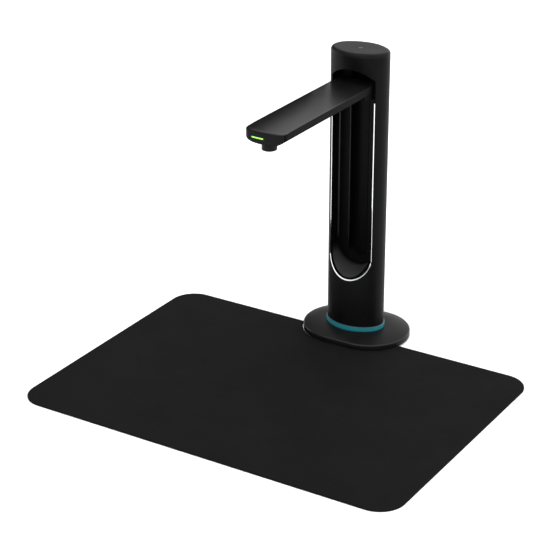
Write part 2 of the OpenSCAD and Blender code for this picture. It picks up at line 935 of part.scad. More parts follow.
module arm_knuckle() {
    half = arm_w / 2;
    inner = half - arm_wall - 0.3;
    color([0.13, 0.13, 0.14]) difference() {
        union() {
            difference() {
                union() {
                    arm_form(0, hinge_y);
                    rod(-half, half, hinge_y, hinge_z, knuckle_r);
                    across(half) polygon([
                        [belly_back, parting], [belly_back, belly_low + belly_sag * 0.5],
                        [hinge_y, hinge_z - knuckle_r], [hinge_y, parting]
                    ]);
                }
                layer(parting, big);
                slab(-big, belly_back + seat);
            }
            intersection() {
                rod(-inner, inner, hinge_y, hinge_z, knuckle_r);
                through(belly_back, half) arm_section(arm_wall + 0.3);
            }
            translate([-tongue_w / 2, belly_back - tongue_l, tongue_low])
                cube([tongue_w, tongue_l + 2, tongue_t]);
        }
        rod(-big, big, hinge_y, hinge_z, pin_r + pin_fit);
        at_arm_screws([arm_screw_y[0]]) cylinder(r = 1.2, h = big);
    }
}

module arm_screws() {
    color([0.35, 0.35, 0.37])
        at_arm_screws() translate([0, 0, belly_low + 0.9]) screw(2, 1, 1, arm_side_h + belly_sag - 5.5);
}

module camera_board() {
    color([0.05, 0.28, 0.14]) difference() {
        union() {
            translate([-camera_half, camera_front, camera_low])
                cube([2 * camera_half, camera_back - camera_front, board_t]);
            translate([-ribbon_w / 2 - 1, camera_back - 4, camera_low + board_t - seat])
                cube([ribbon_w + 2, 3, 1]);
        }
        at_camera_screws() cylinder(r = 1, h = big);
    }
}

module camera_screws() {
    color([0.7, 0.7, 0.72]) at_camera_screws()
        translate([0, 0, camera_low - 1]) screw(1.7, 1, 0.8, board_t + 1.6);
}

module image_sensor() {
    color([0.16, 0.20, 0.30]) translate([-3.5, lens_y - 3, camera_low - 0.9]) cube([7, 6, 0.9]);
}

module lens_holder() {
    color([0.07, 0.07, 0.07]) difference() {
        translate([-holder_half, lens_y - holder_half, holder_low])
            cube([2 * holder_half, 2 * holder_half, camera_low - holder_low]);
        translate([0, lens_y, 0]) cylinder(r = lens_d / 2 - 1.4, h = big);
    }
}

module lens_barrel() {
    color([0.05, 0.05, 0.055]) translate([0, lens_y, 0]) difference() {
        union() {
            translate([0, 0, lens_low])
                cylinder(r = lens_d / 2, h = lens_flange_low + lens_flange_t - lens_low);
            translate([0, 0, lens_flange_low]) cylinder(r = lens_flange_r, h = lens_flange_t);
        }
        cylinder(r = lens_d / 2 - 1.8, h = big);
        translate([0, 0, lens_low - seat]) cylinder(r1 = lens_d / 2 - 0.7, r2 = lens_d / 2 - 1.8, h = 1.4);
    }
}

module lens_glass() {
    glass_r = 12;
    color([0.20, 0.26, 0.32]) translate([0, lens_y, lens_low + 1.4]) intersection() {
        cylinder(r = lens_d / 2 - 1.8 - 0.02, h = 2.4);
        translate([0, 0, glass_r]) sphere(r = glass_r);
    }
}

module status_light() {
    color([0.55, 0.95, 0.20]) union() {
        intersection() {
            difference() {
                arm_form(0, belly_back);
                arm_form(arm_wall + 0.3, belly_back);
            }
            status_window(0);
        }
        intersection() {
            arm_form(arm_wall + 0.1, belly_back);
            translate([-status_x - status_w / 2 + 1.2, -arm_reach, status_z])
                cube([5, arm_wall + 2.6, camera_low - status_z - fit]);
        }
    }
}

module lamp_board() {
    leds = 6;
    color([0.05, 0.28, 0.14]) union() {
        translate([-lamp_board_w / 2, lamp_front + 1, lamp_board_low]) cube([lamp_board_w, lamp_l - 2, 1]);
        for (i = [0:leds - 1])
            translate([-1.4, lamp_front + (i + 0.5) * lamp_l / leds - 1.4, lamp_board_low - 0.4])
                cube([2.8, 2.8, 0.5]);
    }
}

module lamp_diffuser() {
    color([0.90, 0.91, 0.90]) intersection() {
        difference() {
            arm_form(0, belly_back);
            arm_form(arm_wall, belly_back);
        }
        lamp_window(0);
        layer(0, parting);
    }
}

module arm_ribbon() {
    t = ribbon_t;
    low = camera_low + board_t + 1 + seat;
    high = ceiling - seat;
    color([0.85, 0.84, 0.80]) across(ribbon_w / 2) polygon([
        [camera_back - 3.5, low], [camera_back, low], [camera_back + 6, high - t], [ribbon_end, high - t],
        [ribbon_end, high], [camera_back + 5.8, high], [camera_back - 0.2, low + t],
        [camera_back - 3.5, low + t]
    ]);
}

mat();
base_pad();
base_tray();
base_weight();
base_cover();
base_screws();
light_ring();
ring_board();
column_foot();
foot_bolts();
column_front();
column_rear();
top_cap();
touch_key();
touch_board();
slot_trim();
pocket_liner();
hinge_bracket_left();
hinge_bracket_right();
bracket_screws();
hinge_pin();
pin_clips();
friction_washers();
main_board();
board_screws();
data_socket();
column_ribbon();
arm_top();
arm_belly();
arm_knuckle();
arm_screws();
camera_board();
camera_screws();
image_sensor();
lens_holder();
lens_barrel();
lens_glass();
status_light();
lamp_board();
lamp_diffuser();
arm_ribbon();
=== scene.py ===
import json
import math

import bmesh
import bpy
import numpy as np
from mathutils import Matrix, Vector


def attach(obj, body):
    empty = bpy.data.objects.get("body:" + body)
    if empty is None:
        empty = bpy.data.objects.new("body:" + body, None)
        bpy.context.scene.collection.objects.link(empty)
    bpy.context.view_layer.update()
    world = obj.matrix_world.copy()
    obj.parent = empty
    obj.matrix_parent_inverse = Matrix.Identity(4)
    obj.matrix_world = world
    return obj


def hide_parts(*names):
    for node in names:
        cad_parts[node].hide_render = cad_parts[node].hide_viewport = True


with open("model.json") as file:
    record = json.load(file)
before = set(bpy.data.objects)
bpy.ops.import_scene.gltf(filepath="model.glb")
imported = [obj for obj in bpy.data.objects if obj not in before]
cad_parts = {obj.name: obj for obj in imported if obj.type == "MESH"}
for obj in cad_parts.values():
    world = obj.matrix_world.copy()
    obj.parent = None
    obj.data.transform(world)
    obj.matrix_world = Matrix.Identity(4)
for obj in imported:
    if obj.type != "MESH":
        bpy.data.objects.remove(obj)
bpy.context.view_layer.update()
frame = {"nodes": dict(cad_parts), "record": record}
cadNodes = frame["nodes"]
scene = bpy.context.scene
mm = 0.001  # sizes below are in millimetres
print("frame loaded:", len(cadNodes), "nodes")

cameraSetup = {
    "place": (0.961747, -1.737479, 0.971614),  # metres
    "turn": 31.699,
    "tilt": 24.385,
    "lens": 118.42,
}


def makeCamera():
    lensData = bpy.data.cameras.new("deskView")
    lensData.lens = cameraSetup["lens"]
    lensData.sensor_width = 36
    lensData.clip_start = 0.01
    camera = bpy.data.objects.new("deskView", lensData)
    camera.location = cameraSetup["place"]
    tilt = math.radians(90 - cameraSetup["tilt"])
    camera.rotation_euler = (tilt, 0, math.radians(cameraSetup["turn"]))
    scene.collection.objects.link(camera)
    scene.camera = camera


makeCamera()
print("camera set")


# finishes: small helpers first, then one function for each kind of surface
def startFinish(name, settings):
    material = bpy.data.materials.new(name)
    material.use_nodes = True
    tree = material.node_tree
    shader = tree.nodes["Principled BSDF"]
    for socket, value in settings.items():
        shader.inputs[socket].default_value = value
    return material, tree, shader


def surfaceSpace(tree, stretch=(1, 1, 1)):
    coords = tree.nodes.new("ShaderNodeTexCoord")
    mapping = tree.nodes.new("ShaderNodeMapping")
    mapping.inputs["Scale"].default_value = stretch
    tree.links.new(coords.outputs["Object"], mapping.inputs["Vector"])
    return mapping.outputs["Vector"]


def axes(tree, vector):
    split = tree.nodes.new("ShaderNodeSeparateXYZ")
    tree.links.new(vector, split.inputs["Vector"])
    return split.outputs


def noise(tree, space, scale, detail=3.0, rough=0.5):
    node = tree.nodes.new("ShaderNodeTexNoise")
    node.inputs["Scale"].default_value = scale
    node.inputs["Detail"].default_value = detail
    node.inputs["Roughness"].default_value = rough
    tree.links.new(space, node.inputs["Vector"])
    return node.outputs["Fac"]


def cells(tree, space, scale):
    node = tree.nodes.new("ShaderNodeTexVoronoi")
    node.inputs["Scale"].default_value = scale
    tree.links.new(space, node.inputs["Vector"])
    return node.outputs["Distance"]


def ramp(tree, amount, stops):
    node = tree.nodes.new("ShaderNodeValToRGB")
    marks = node.color_ramp.elements
    while len(marks) < len(stops):
        marks.new(0.5)
    for mark, (place, colour) in zip(marks, stops):
        mark.position = place
        mark.color = (*colour, 1)
    tree.links.new(amount, node.inputs["Fac"])
    return node.outputs["Color"]


def spread(tree, amount, low, high, start=0.0, end=1.0):
    node = tree.nodes.new("ShaderNodeMapRange")
    node.inputs["From Min"].default_value = start
    node.inputs["From Max"].default_value = end
    node.inputs["To Min"].default_value = low
    node.inputs["To Max"].default_value = high
    tree.links.new(amount, node.inputs["Value"])
    return node.outputs["Result"]


def maths(tree, how, first, second):
    node = tree.nodes.new("ShaderNodeMath")
    node.operation = how
    for socket, value in zip(node.inputs, (first, second)):
        if isinstance(value, (int, float)):
            socket.default_value = value
        else:
            tree.links.new(value, socket)
    return node.outputs["Value"]


def sumOfSquares(tree, first, second):
    return maths(tree, "ADD", maths(tree, "POWER", first, 2), maths(tree, "POWER", second, 2))


def paint(tree, shader, colour, rough):
    tree.links.new(colour, shader.inputs["Base Color"])
    tree.links.new(rough, shader.inputs["Roughness"])


def lightUp(tree, shader, glow):
    tree.links.new(glow, shader.inputs["Base Color"])
    tree.links.new(glow, shader.inputs["Emission Color"])


def relief(tree, shader, height, strength, depth):
    bump = tree.nodes.new("ShaderNodeBump")
    bump.inputs["Strength"].default_value = strength
    bump.inputs["Distance"].default_value = depth * mm
    tree.links.new(height, bump.inputs["Height"])
    tree.links.new(bump.outputs["Normal"], shader.inputs["Normal"])


def mouldedPlastic(name, dark, light, rough, gloss, pebble, depth):
    material, tree, shader = startFinish(name, {"Specular IOR Level": gloss})
    space = surfaceSpace(tree)
    cloud = noise(tree, space, 38, 5, 0.6)
    tone = ramp(tree, cloud, [(0.3, dark), (0.72, light)])
    paint(tree, shader, tone, spread(tree, cloud, *rough, 0.3, 0.7))
    relief(tree, shader, noise(tree, space, pebble, 2), 0.35, depth)
    return material


def pressedRubber(name, dark, light, rough, gloss, pebble, depth):
    material, tree, shader = startFinish(name, {"Specular IOR Level": gloss})
    space = surfaceSpace(tree)
    cloud = noise(tree, space, 14, 6, 0.62)
    bead = cells(tree, space, pebble)
    tone = ramp(tree, cloud, [(0.32, dark), (0.7, light)])
    paint(tree, shader, tone, spread(tree, bead, *rough))
    relief(tree, shader, bead, 0.5, depth)
    return material


def platedMetal(name, dark, light, rough, stretch, depth):
    material, tree, shader = startFinish(name, {"Metallic": 1.0})
    space = surfaceSpace(tree, stretch)
    streak = noise(tree, space, 900, 3, 0.55)
    tone = ramp(tree, noise(tree, space, 60, 4), [(0.3, dark), (0.7, light)])
    paint(tree, shader, tone, spread(tree, streak, *rough, 0.3, 0.7))
    relief(tree, shader, streak, 0.2, depth)
    return material


def glowingGuide(name, core, edge, low, high, strength):
    settings = {"Specular IOR Level": 0.4, "Emission Strength": strength}
    material, tree, shader = startFinish(name, settings)
    space = surfaceSpace(tree)
    rise = spread(tree, axes(tree, space)["Z"], 0, 1, low * mm, high * mm)
    haze = noise(tree, space, 420)
    lightUp(tree, shader, ramp(tree, rise, [(0.0, edge), (0.35, core), (0.65, core), (1.0, edge)]))
    tree.links.new(spread(tree, haze, 0.28, 0.42), shader.inputs["Roughness"])
    relief(tree, shader, haze, 0.2, 0.02)
    return material


def litWindow(name, dark, light, strength):
    settings = {"Specular IOR Level": 0.5, "Roughness": 0.25, "Emission Strength": strength}
    material, tree, shader = startFinish(name, settings)
    haze = noise(tree, surfaceSpace(tree), 260)
    lightUp(tree, shader, ramp(tree, haze, [(0.25, dark), (0.75, light)]))
    relief(tree, shader, haze, 0.15, 0.02)
    return material


def litBar(name, x, z, half, fade, core, edge, strength):
    settings = {"Specular IOR Level": 0.5, "Roughness": 0.2, "Emission Strength": strength}
    material, tree, shader = startFinish(name, settings)
    space = surfaceSpace(tree)
    place = axes(tree, space)
    along = maths(tree, "ABSOLUTE", maths(tree, "SUBTRACT", place["X"], x * mm), 0)
    past = maths(tree, "MAXIMUM", maths(tree, "SUBTRACT", along, half * mm), 0)
    rise = maths(tree, "SUBTRACT", place["Z"], z * mm)
    reach = maths(tree, "SQRT", sumOfSquares(tree, past, rise), 0)
    haze = noise(tree, space, 700)
    away = maths(tree, "ADD", reach, spread(tree, haze, -0.08 * mm, 0.08 * mm))
    bands = [(0.0, core), (0.2, core), (0.6, edge), (1.0, tuple(0.5 * part for part in edge))]
    lightUp(tree, shader, ramp(tree, spread(tree, away, 0, 1, 0, fade * mm), bands))
    relief(tree, shader, haze, 0.15, 0.02)
    return material


def circuitMask(name):
    material, tree, shader = startFinish(name, {"Specular IOR Level": 0.5})
    brick = tree.nodes.new("ShaderNodeTexBrick")
    brick.inputs["Scale"].default_value = 210
    brick.inputs["Mortar Size"].default_value = 0.06
    brick.inputs["Color1"].default_value = (0.012, 0.09, 0.035, 1)
    brick.inputs["Color2"].default_value = (0.016, 0.11, 0.042, 1)
    brick.inputs["Mortar"].default_value = (0.03, 0.17, 0.07, 1)
    tree.links.new(surfaceSpace(tree), brick.inputs["Vector"])
    paint(tree, shader, brick.outputs["Color"], spread(tree, brick.outputs["Fac"], 0.32, 0.45))
    relief(tree, shader, brick.outputs["Fac"], 0.3, 0.04)
    return material


def stripedFilm(name):
    material, tree, shader = startFinish(name, {"Specular IOR Level": 0.45})
    wave = tree.nodes.new("ShaderNodeTexWave")
    wave.bands_direction = "X"
    wave.inputs["Scale"].default_value = 320  # one conductor to the millimetre
    tree.links.new(surfaceSpace(tree), wave.inputs["Vector"])
    stripe = wave.outputs["Fac"]
    tone = ramp(tree, stripe, [(0.3, (0.62, 0.6, 0.55)), (0.6, (0.8, 0.79, 0.74))])
    paint(tree, shader, tone, spread(tree, stripe, 0.38, 0.5))
    relief(tree, shader, stripe, 0.3, 0.05)
    return material


def coatedGlass(name):
    settings = {"Specular IOR Level": 0.6, "Coat Weight": 1.0, "Coat Roughness": 0.02, "IOR": 1.5}
    material, tree, shader = startFinish(name, settings)
    layer = tree.nodes.new("ShaderNodeLayerWeight")
    layer.inputs["Blend"].default_value = 0.45
    # painted reflection: the coating's coloured reflections are painted into the base colour by viewing
    # angle
    coatingReflection = [(0.0, (0.004, 0.006, 0.016)), (0.6, (0.03, 0.012, 0.05)), (1.0, (0.02, 0.06, 0.05))]
    smear = noise(tree, surfaceSpace(tree), 150)
    paint(tree, shader, ramp(tree, layer.outputs["Facing"], coatingReflection), spread(tree, smear, 0.03, 0.07))
    return material


def markedKey(name, grey, pale, radius):
    material, tree, shader = startFinish(name, {"Specular IOR Level": 0.1})
    space = surfaceSpace(tree)
    place = axes(tree, space)
    reach = maths(tree, "SQRT", sumOfSquares(tree, place["X"], place["Y"]), 0)
    fine = noise(tree, space, 1500, 2)
    edge = maths(tree, "ADD", reach, spread(tree, fine, -0.12 * mm, 0.12 * mm))
    # a dot with a ring round it
    bands = [(0.0, pale), (0.12, pale), (0.16, grey), (0.3, grey), (0.34, pale), (0.46, pale), (0.5, grey)]
    tone = ramp(tree, spread(tree, edge, 0, 1, 0, radius * mm), bands)
    paint(tree, shader, tone, spread(tree, fine, 0.36, 0.48))
    relief(tree, shader, fine, 0.25, 0.02)
    return material


# painted light: the scoop, which faces up in front of the shelf, is painted paler where it faces up
scoopPaintedLight = {"upward": (0.15, 0.45), "frontY": (-7.0, 1.0), "lowZ": (103.0, 113.0)}


def pocketPlastic(name, dark, scoop, rough, gloss):
    material, tree, shader = startFinish(name, {"Specular IOR Level": gloss})
    space = surfaceSpace(tree)
    place = axes(tree, space)
    facing = axes(tree, tree.nodes.new("ShaderNodeNewGeometry").outputs["Normal"])
    cloud = noise(tree, space, 55, 5, 0.6)
    upward = spread(tree, facing["Z"], 0, 1, *scoopPaintedLight["upward"])
    front = spread(tree, place["Y"], 1, 0.12, *[y * mm for y in scoopPaintedLight["frontY"]])
    low = spread(tree, place["Z"], 1, 0.15, *[z * mm for z in scoopPaintedLight["lowZ"]])
    patchy = maths(tree, "MULTIPLY", spread(tree, cloud, 0.85, 1.0, 0.3, 0.6), low)
    # painted light on the scoop's upward faces, patchy and fading towards the back and the top
    paintedLight = maths(tree, "MULTIPLY", maths(tree, "MULTIPLY", upward, front), patchy)
    tone = ramp(tree, paintedLight, [(0.0, dark), (1.0, scoop)])
    paint(tree, shader, tone, spread(tree, cloud, *rough, 0.3, 0.7))
    relief(tree, shader, noise(tree, space, 1500, 2), 0.3, 0.01)
    return material


finishes = {
    "housing": mouldedPlastic(
        "satinHousing", dark=(0.004, 0.004, 0.0043), light=(0.006, 0.006, 0.0064),
        rough=(0.35, 0.43), gloss=0.08, pebble=1700, depth=0.012,
    ),
    # painted shade: a darker copy of the housing plastic for the upright column shells
    "columnShade": mouldedPlastic(
        "columnShade", dark=(0.0022, 0.0022, 0.0024), light=(0.0036, 0.0036, 0.0039),
        rough=(0.4, 0.48), gloss=0.066, pebble=1700, depth=0.012,
    ),
    "armSatin": mouldedPlastic(
        "armSatin", dark=(0.0042, 0.0042, 0.0045), light=(0.0062, 0.0062, 0.0066),
        rough=(0.28, 0.34), gloss=0.37, pebble=1700, depth=0.008,
    ),
    # painted shade: a darker, duller copy of the arm plastic for the arm's long sides
    "armSideShade": mouldedPlastic(
        "armSideShade", dark=(0.0018, 0.0018, 0.0019), light=(0.003, 0.003, 0.0032),
        rough=(0.38, 0.46), gloss=0.028, pebble=1700, depth=0.012,
    ),
    # painted highlight: a paler, glossier copy of the housing for the rim bevel
    "rimHighlight": mouldedPlastic(
        "rimHighlight", dark=(0.006, 0.006, 0.0064), light=(0.009, 0.009, 0.0094),
        rough=(0.22, 0.3), gloss=0.22, pebble=1200, depth=0.006,
    ),
    # the liner's scoop colour is painted light
    "liner": pocketPlastic(
        "pocketLining", dark=(0.0018, 0.0018, 0.0019), scoop=(0.026, 0.026, 0.0265),
        rough=(0.31, 0.41), gloss=0.06,
    ),
    # painted highlight: a paler, glossier copy of the pocket plastic for the coves and beads; the gloss is
    # real
    "railHighlight": mouldedPlastic(
        "railHighlight", dark=(0.004, 0.004, 0.0042), light=(0.007, 0.007, 0.0073),
        rough=(0.26, 0.34), gloss=0.32, pebble=1500, depth=0.008,
    ),
    # black paint, darkened further as painted shade: the hinge knuckle sits in the column's shade
    "casting": mouldedPlastic(
        "shadedBlackCasting", dark=(0.0012, 0.0012, 0.0013), light=(0.0024, 0.0024, 0.0026),
        rough=(0.45, 0.58), gloss=0.02, pebble=900, depth=0.02,
    ),
    "lens_black": mouldedPlastic(
        "lensBlack", dark=(0.0035, 0.0035, 0.004), light=(0.006, 0.006, 0.0065),
        rough=(0.3, 0.4), gloss=0.1, pebble=1500, depth=0.008,
    ),
    "mat_rubber": pressedRubber(
        "matSurface", dark=(0.0048, 0.0048, 0.005), light=(0.0064, 0.0064, 0.0067),
        rough=(0.74, 0.9), gloss=0.045, pebble=900, depth=0.05,
    ),
    "sole_rubber": pressedRubber(
        "soleRubber", dark=(0.01, 0.01, 0.01), light=(0.02, 0.02, 0.02),
        rough=(0.72, 0.88), gloss=0.2, pebble=620, depth=0.08,
    ),
    "trim": platedMetal(
        "brightTrim", dark=(0.86, 0.87, 0.88), light=(0.95, 0.95, 0.96),
        rough=(0.04, 0.1), stretch=(1, 1, 0.06), depth=0.001,
    ),
    "steel": platedMetal(
        "platedSteel", dark=(0.42, 0.43, 0.45), light=(0.56, 0.57, 0.59),
        rough=(0.22, 0.38), stretch=(1, 1, 0.15), depth=0.006,
    ),
    "washer": platedMetal(
        "oiledBrass", dark=(0.13, 0.09, 0.035), light=(0.22, 0.155, 0.065),
        rough=(0.3, 0.45), stretch=(1, 1, 1), depth=0.006,
    ),
    "light_guide": glowingGuide(
        "tealGuide", core=(0.007, 0.094, 0.112), edge=(0.003, 0.04, 0.046),
        low=13, high=19.5, strength=0.62,
    ),
    "status_green": litBar(
        "statusGreen", x=-6.5, z=312.5, half=6.6, fade=1.4,
        core=(0.29, 0.78, 0.07), edge=(0.004, 0.04, 0.001), strength=1.15,
    ),
    "diffuser": litWindow(
        "frostedDiffuser", dark=(0.72, 0.73, 0.7), light=(0.86, 0.87, 0.84), strength=0.12
    ),
    "circuit": circuitMask("circuitMask"),
    "ribbon": stripedFilm("ribbonFilm"),
    "lens_glass": coatedGlass("coatedGlass"),
    "key": markedKey(
        "touchKeyMark", grey=(0.007, 0.007, 0.0073), pale=(0.11, 0.11, 0.11), radius=4.6
    ),
}
print("finishes made:", len(finishes))


# mesh helpers; every point is in millimetres in the shared frame
def tidyMesh(mesh, sharp=32):
    work = bmesh.new()
    work.from_mesh(mesh)
    bmesh.ops.remove_doubles(work, verts=work.verts, dist=0.002 * mm)
    bmesh.ops.recalc_face_normals(work, faces=work.faces)
    work.to_mesh(mesh)
    work.free()
    mesh.shade_smooth()
    mesh.set_sharp_from_angle(angle=math.radians(sharp))


def makeMesh(name, points, faces, sharp=32):
    mesh = bpy.data.meshes.new(name)
    mesh.from_pydata([(x * mm, y * mm, z * mm) for x, y, z in points], [], faces)
    obj = bpy.data.objects.new(name, mesh)
    scene.collection.objects.link(obj)
    tidyMesh(mesh, sharp)
    return obj


def dressPiece(obj, body, slotName, replaced, finish=None):
    obj.data.materials.clear()
    obj.data.materials.append(finishes[finish or slotName])
    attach(obj, body)
    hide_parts(*replaced)


def addFinish(obj, finish, chosen):
    obj.data.materials.append(finishes[finish])
    last = len(obj.data.materials) - 1
    for face in obj.data.polygons:
        if chosen(face.center / mm, face.normal):
            face.material_index = last


def bakeModifiers(obj, sharp=32):
    bpy.context.view_layer.update()
    graph = bpy.context.evaluated_depsgraph_get()
    mesh = bpy.data.meshes.new_from_object(obj.evaluated_get(graph))
    obj.modifiers.clear()
    obj.data = mesh
    tidyMesh(mesh, sharp)


def cutAway(obj, cutters, sharp=32):
    for cutter in cutters:
        cut = obj.modifiers.new("cut", "BOOLEAN")
        cut.operation = "DIFFERENCE"
        cut.solver = "EXACT"
        cut.object = cutter
    bakeModifiers(obj, sharp)
    for cutter in cutters:
        bpy.data.objects.remove(cutter)


def softEdge(obj, width, angle):
    soft = obj.modifiers.new("softEdge", "BEVEL")
    soft.width = width * mm
    soft.segments = 2
    soft.limit_method = "ANGLE"
    soft.angle_limit = math.radians(angle)
    return soft


def loft(loops, ring=False, closeStart=False, closeEnd=False):
    count = len(loops[0])
    points = [point for loop in loops for point in loop]
    faces = []
    for k in range(len(loops) - (0 if ring else 1)):
        here, there = k * count, (k + 1) % len(loops) * count
        for i in range(count):
            j = (i + 1) % count
            faces.append((here + i, here + j, there + j, there + i))
    if closeStart:
        faces.append(tuple(range(count)))
    if closeEnd:
        faces.append(tuple(range((len(loops) - 1) * count, len(loops) * count)))
    return points, faces


def gather(meshes):
    points, faces = [], []
    for morePoints, moreFaces in meshes:
        faces += [tuple(len(points) + index for index in face) for face in moreFaces]
        points += morePoints
    return points, faces


def lathe(profile, count, centre=(0, 0)):
    loops = []
    for i in range(count):
        turn = 2 * math.pi * i / count
        loops.append([
            (centre[0] + r * math.cos(turn), centre[1] + r * math.sin(turn), z) for r, z in profile
        ])
    return loops


def arc(centre, radius, start, end, steps):
    sweep = []
    for i in range(steps + 1):
        turn = math.radians(start + (end - start) * i / steps)
        sweep.append((centre[0] + radius * math.cos(turn), centre[1] + radius * math.sin(turn)))
    return sweep


def quarterRound(radius, top, steps):
    # pairs of inset and height, from the side up to the top
    pairs = []
    for i in range(1, steps + 1):
        turn = math.radians(90 * i / steps)
        pairs.append((radius * (1 - math.cos(turn)), top - radius + radius * math.sin(turn)))
    return pairs


def outwardNormals(line):
    found = []
    for i in range(len(line)):
        before, after = line[i - 1], line[(i + 1) % len(line)]
        dx, dy = after[0] - before[0], after[1] - before[1]
        size = math.hypot(dx, dy) or 1
        found.append((dy / size, -dx / size))  # right-hand side of an anticlockwise line
    return found


def drawnIn(line, normals, inset):
    return [(x - nx * inset, y - ny * inset) for (x, y), (nx, ny) in zip(line, normals)]


def atHeight(line, z):
    return [(x, y, z) for x, y in line]


def partWay(start, end, share):
    return [(ax + (bx - ax) * share, ay + (by - ay) * share) for (ax, ay), (bx, by) in zip(start, end)]


def prismUp(name, line, low, high):
    loops = [atHeight(line, z) for z in (low, high)]
    return makeMesh(name, *loft(loops, closeStart=True, closeEnd=True))


def prismThrough(name, line, front, back):
    loops = [[(x, y, z) for x, z in line] for y in (front, back)]
    return makeMesh(name, *loft(loops, closeStart=True, closeEnd=True))


def stadiumLine(half, radius, steps, straight, centre=(0, 0)):
    cx, cy = centre
    line = arc((cx + half, cy), radius, -90, 90, steps)
    for i in range(1, straight):
        line.append((cx + half - 2 * half * i / straight, cy + radius))
    line += arc((cx - half, cy), radius, 90, 270, steps)
    for i in range(1, straight):
        line.append((cx - half + 2 * half * i / straight, cy - radius))
    return line


# the column's outline: two round ends joined by two flat arcs, measured along its edge
column = {
    "endX": 15.8, "endR": 20.0, "sideY": 19.0482, "sideR": 44.7482,
    "low": 19.5, "shellTop": 352.5, "top": 357.5, "wall": 2.5, "split": 9.0, "seam": 0.22,
    "capSeam": 0.08, "turnSteps": 2400,
}
flare = math.asin(column["endX"] / (column["sideR"] - column["endR"]))
frontRun = 2 * flare * column["sideR"]
endRun = (math.pi - 2 * flare) * column["endR"]
ovalRun = 2 * (frontRun + endRun)


def ovalAt(along, grow=0.0):
    s = (along + frontRun / 2) % ovalRun
    if s < frontRun:
        turn = s / column["sideR"] - flare
        cx, cy, radius = 0, column["sideY"], column["sideR"]
    elif s < frontRun + endRun:
        turn = flare + (s - frontRun) / column["endR"]
        cx, cy, radius = column["endX"], 0, column["endR"]
    elif s < 2 * frontRun + endRun:
        turn = math.pi - flare + (s - frontRun - endRun) / column["sideR"]
        cx, cy, radius = 0, -column["sideY"], column["sideR"]
    else:
        turn = math.pi + flare + (s - 2 * frontRun - endRun) / column["endR"]
        cx, cy, radius = -column["endX"], 0, column["endR"]
    return cx + (radius + grow) * math.sin(turn), cy - (radius + grow) * math.cos(turn)


def ovalLoop(grow, z, count=168):
    return [(*ovalAt(ovalRun * i / count, grow), z) for i in range(count)]


def ovalFront(x, grow=0.0):
    reach = abs(x)
    edge = column["endX"] + (column["endR"] + grow) * math.sin(flare)
    if reach <= edge:
        return column["sideY"] - math.sqrt((column["sideR"] + grow) ** 2 - reach ** 2)
    return -math.sqrt(max((column["endR"] + grow) ** 2 - (reach - column["endX"]) ** 2, 0))


# the same outline by its direction from the column's axis
denseOval = np.array([ovalAt(ovalRun * i / column["turnSteps"]) for i in range(column["turnSteps"])])
denseTurn = np.arctan2(denseOval[:, 1], denseOval[:, 0])
denseReach = np.hypot(denseOval[:, 0], denseOval[:, 1])
denseOrder = np.argsort(denseTurn)


def ovalTowards(turn, grow):
    reach = np.interp(turn, denseTurn[denseOrder], denseReach[denseOrder], period=2 * math.pi)
    return (reach + grow) * math.cos(turn), (reach + grow) * math.sin(turn)


print("outlines ready, column girth", round(ovalRun, 1), "mm")


mat = {
    "width": 478.0, "depth": 341.0, "back": -10.0, "corner": 30.0, "thick": 2.0, "edge": 0.7,
    "notchHalf": 16.5, "notchR": 50.3, "notchY": 3.0,
    "slack": 1.0, "slackFrom": 186.0, "slackTo": 223.0,  # the mat lies a little off on the left
    "underside": [(0.35, 0.0), (0.08, 0.12), (0.0, 0.4)],  # inset and height
}


def notchArc(half, start, end, steps):
    line = []
    for i in range(steps + 1):
        angle = start + (end - start) * i / steps
        share = (angle - mat["slackFrom"]) / (mat["slackTo"] - mat["slackFrom"])
        slack = mat["slack"] * math.sin(math.pi * share) ** 2 if 0 < share < 1 else 0.0
        radius, turn = mat["notchR"] + slack, math.radians(angle)
        line.append((half + radius * math.cos(turn), mat["notchY"] + radius * math.sin(turn)))
    return line


def matLine():
    right, back, r = mat["width"] / 2, mat["back"], mat["corner"]
    front, half, radius = back - mat["depth"], mat["notchHalf"], mat["notchR"]
    drop = math.degrees(math.asin((mat["notchY"] - back) / radius))
    run = right - r - half - radius
    line = notchArc(-half, 180 + drop, 270, 44)  # round the foot, left to right
    line += notchArc(half, 270, 360 - drop, 30)
    line += [(half + radius + run * i / 8, back) for i in range(1, 8)]
    line += arc((right - r, back - r), r, 90, 0, 16)
    line += arc((right - r, front + r), r, 0, -90, 16)
    line += arc((r - right, front + r), r, 270, 180, 16)
    line += arc((r - right, back - r), r, 180, 90, 16)
    line += [(r - right + run * i / 8, back) for i in range(1, 8)]
    line.reverse()  # anticlockwise from above
    return line


def makeMat():
    line = matLine()
    normals = outwardNormals(line)
    edge, thick = mat["edge"], mat["thick"]
    levels = mat["underside"] + [(0.0, thick - edge)] + quarterRound(edge, thick, 3)
    levels.append((edge + 0.25, thick))
    loops = [atHeight(drawnIn(line, normals, inset), z) for inset, z in levels]
    sheet = makeMesh("deskMat", *loft(loops, closeStart=True, closeEnd=True), sharp=40)
    dressPiece(sheet, "stand", "mat_rubber", ["mat"])


makeMat()
print("mat laid")

foot = {
    "half": 16.5, "radius": 49.9, "back": 3.0, "seam": 6.0, "rim": 8.5, "crown": 14.0,
    "flat": 20.0, "dome": 84.0236, "bevel": 0.8, "chamfer": 0.25, "wall": 2.0,
    "ringGap": 1.3, "ringSeat": 13.0, "highlightFrom": 7.2,
    "topShares": (0.04, 0.12, 0.22, 0.34, 0.46, 0.58, 0.7, 0.82, 0.92, 1.0),
    "innerShares": (0.0, 0.35, 0.7, 1.0),
    # inset and height, from the inside of the underside round to the inside of the wall
    "tray": [
        (2.9, 2.0), (2.9, 1.0), (0.9, 1.0), (0.5, 1.08), (0.15, 1.4), (0, 1.9), (0, 5.75), (0.25, 6.0),
        (2.0, 6.0), (2.0, 3.6),
    ],
}


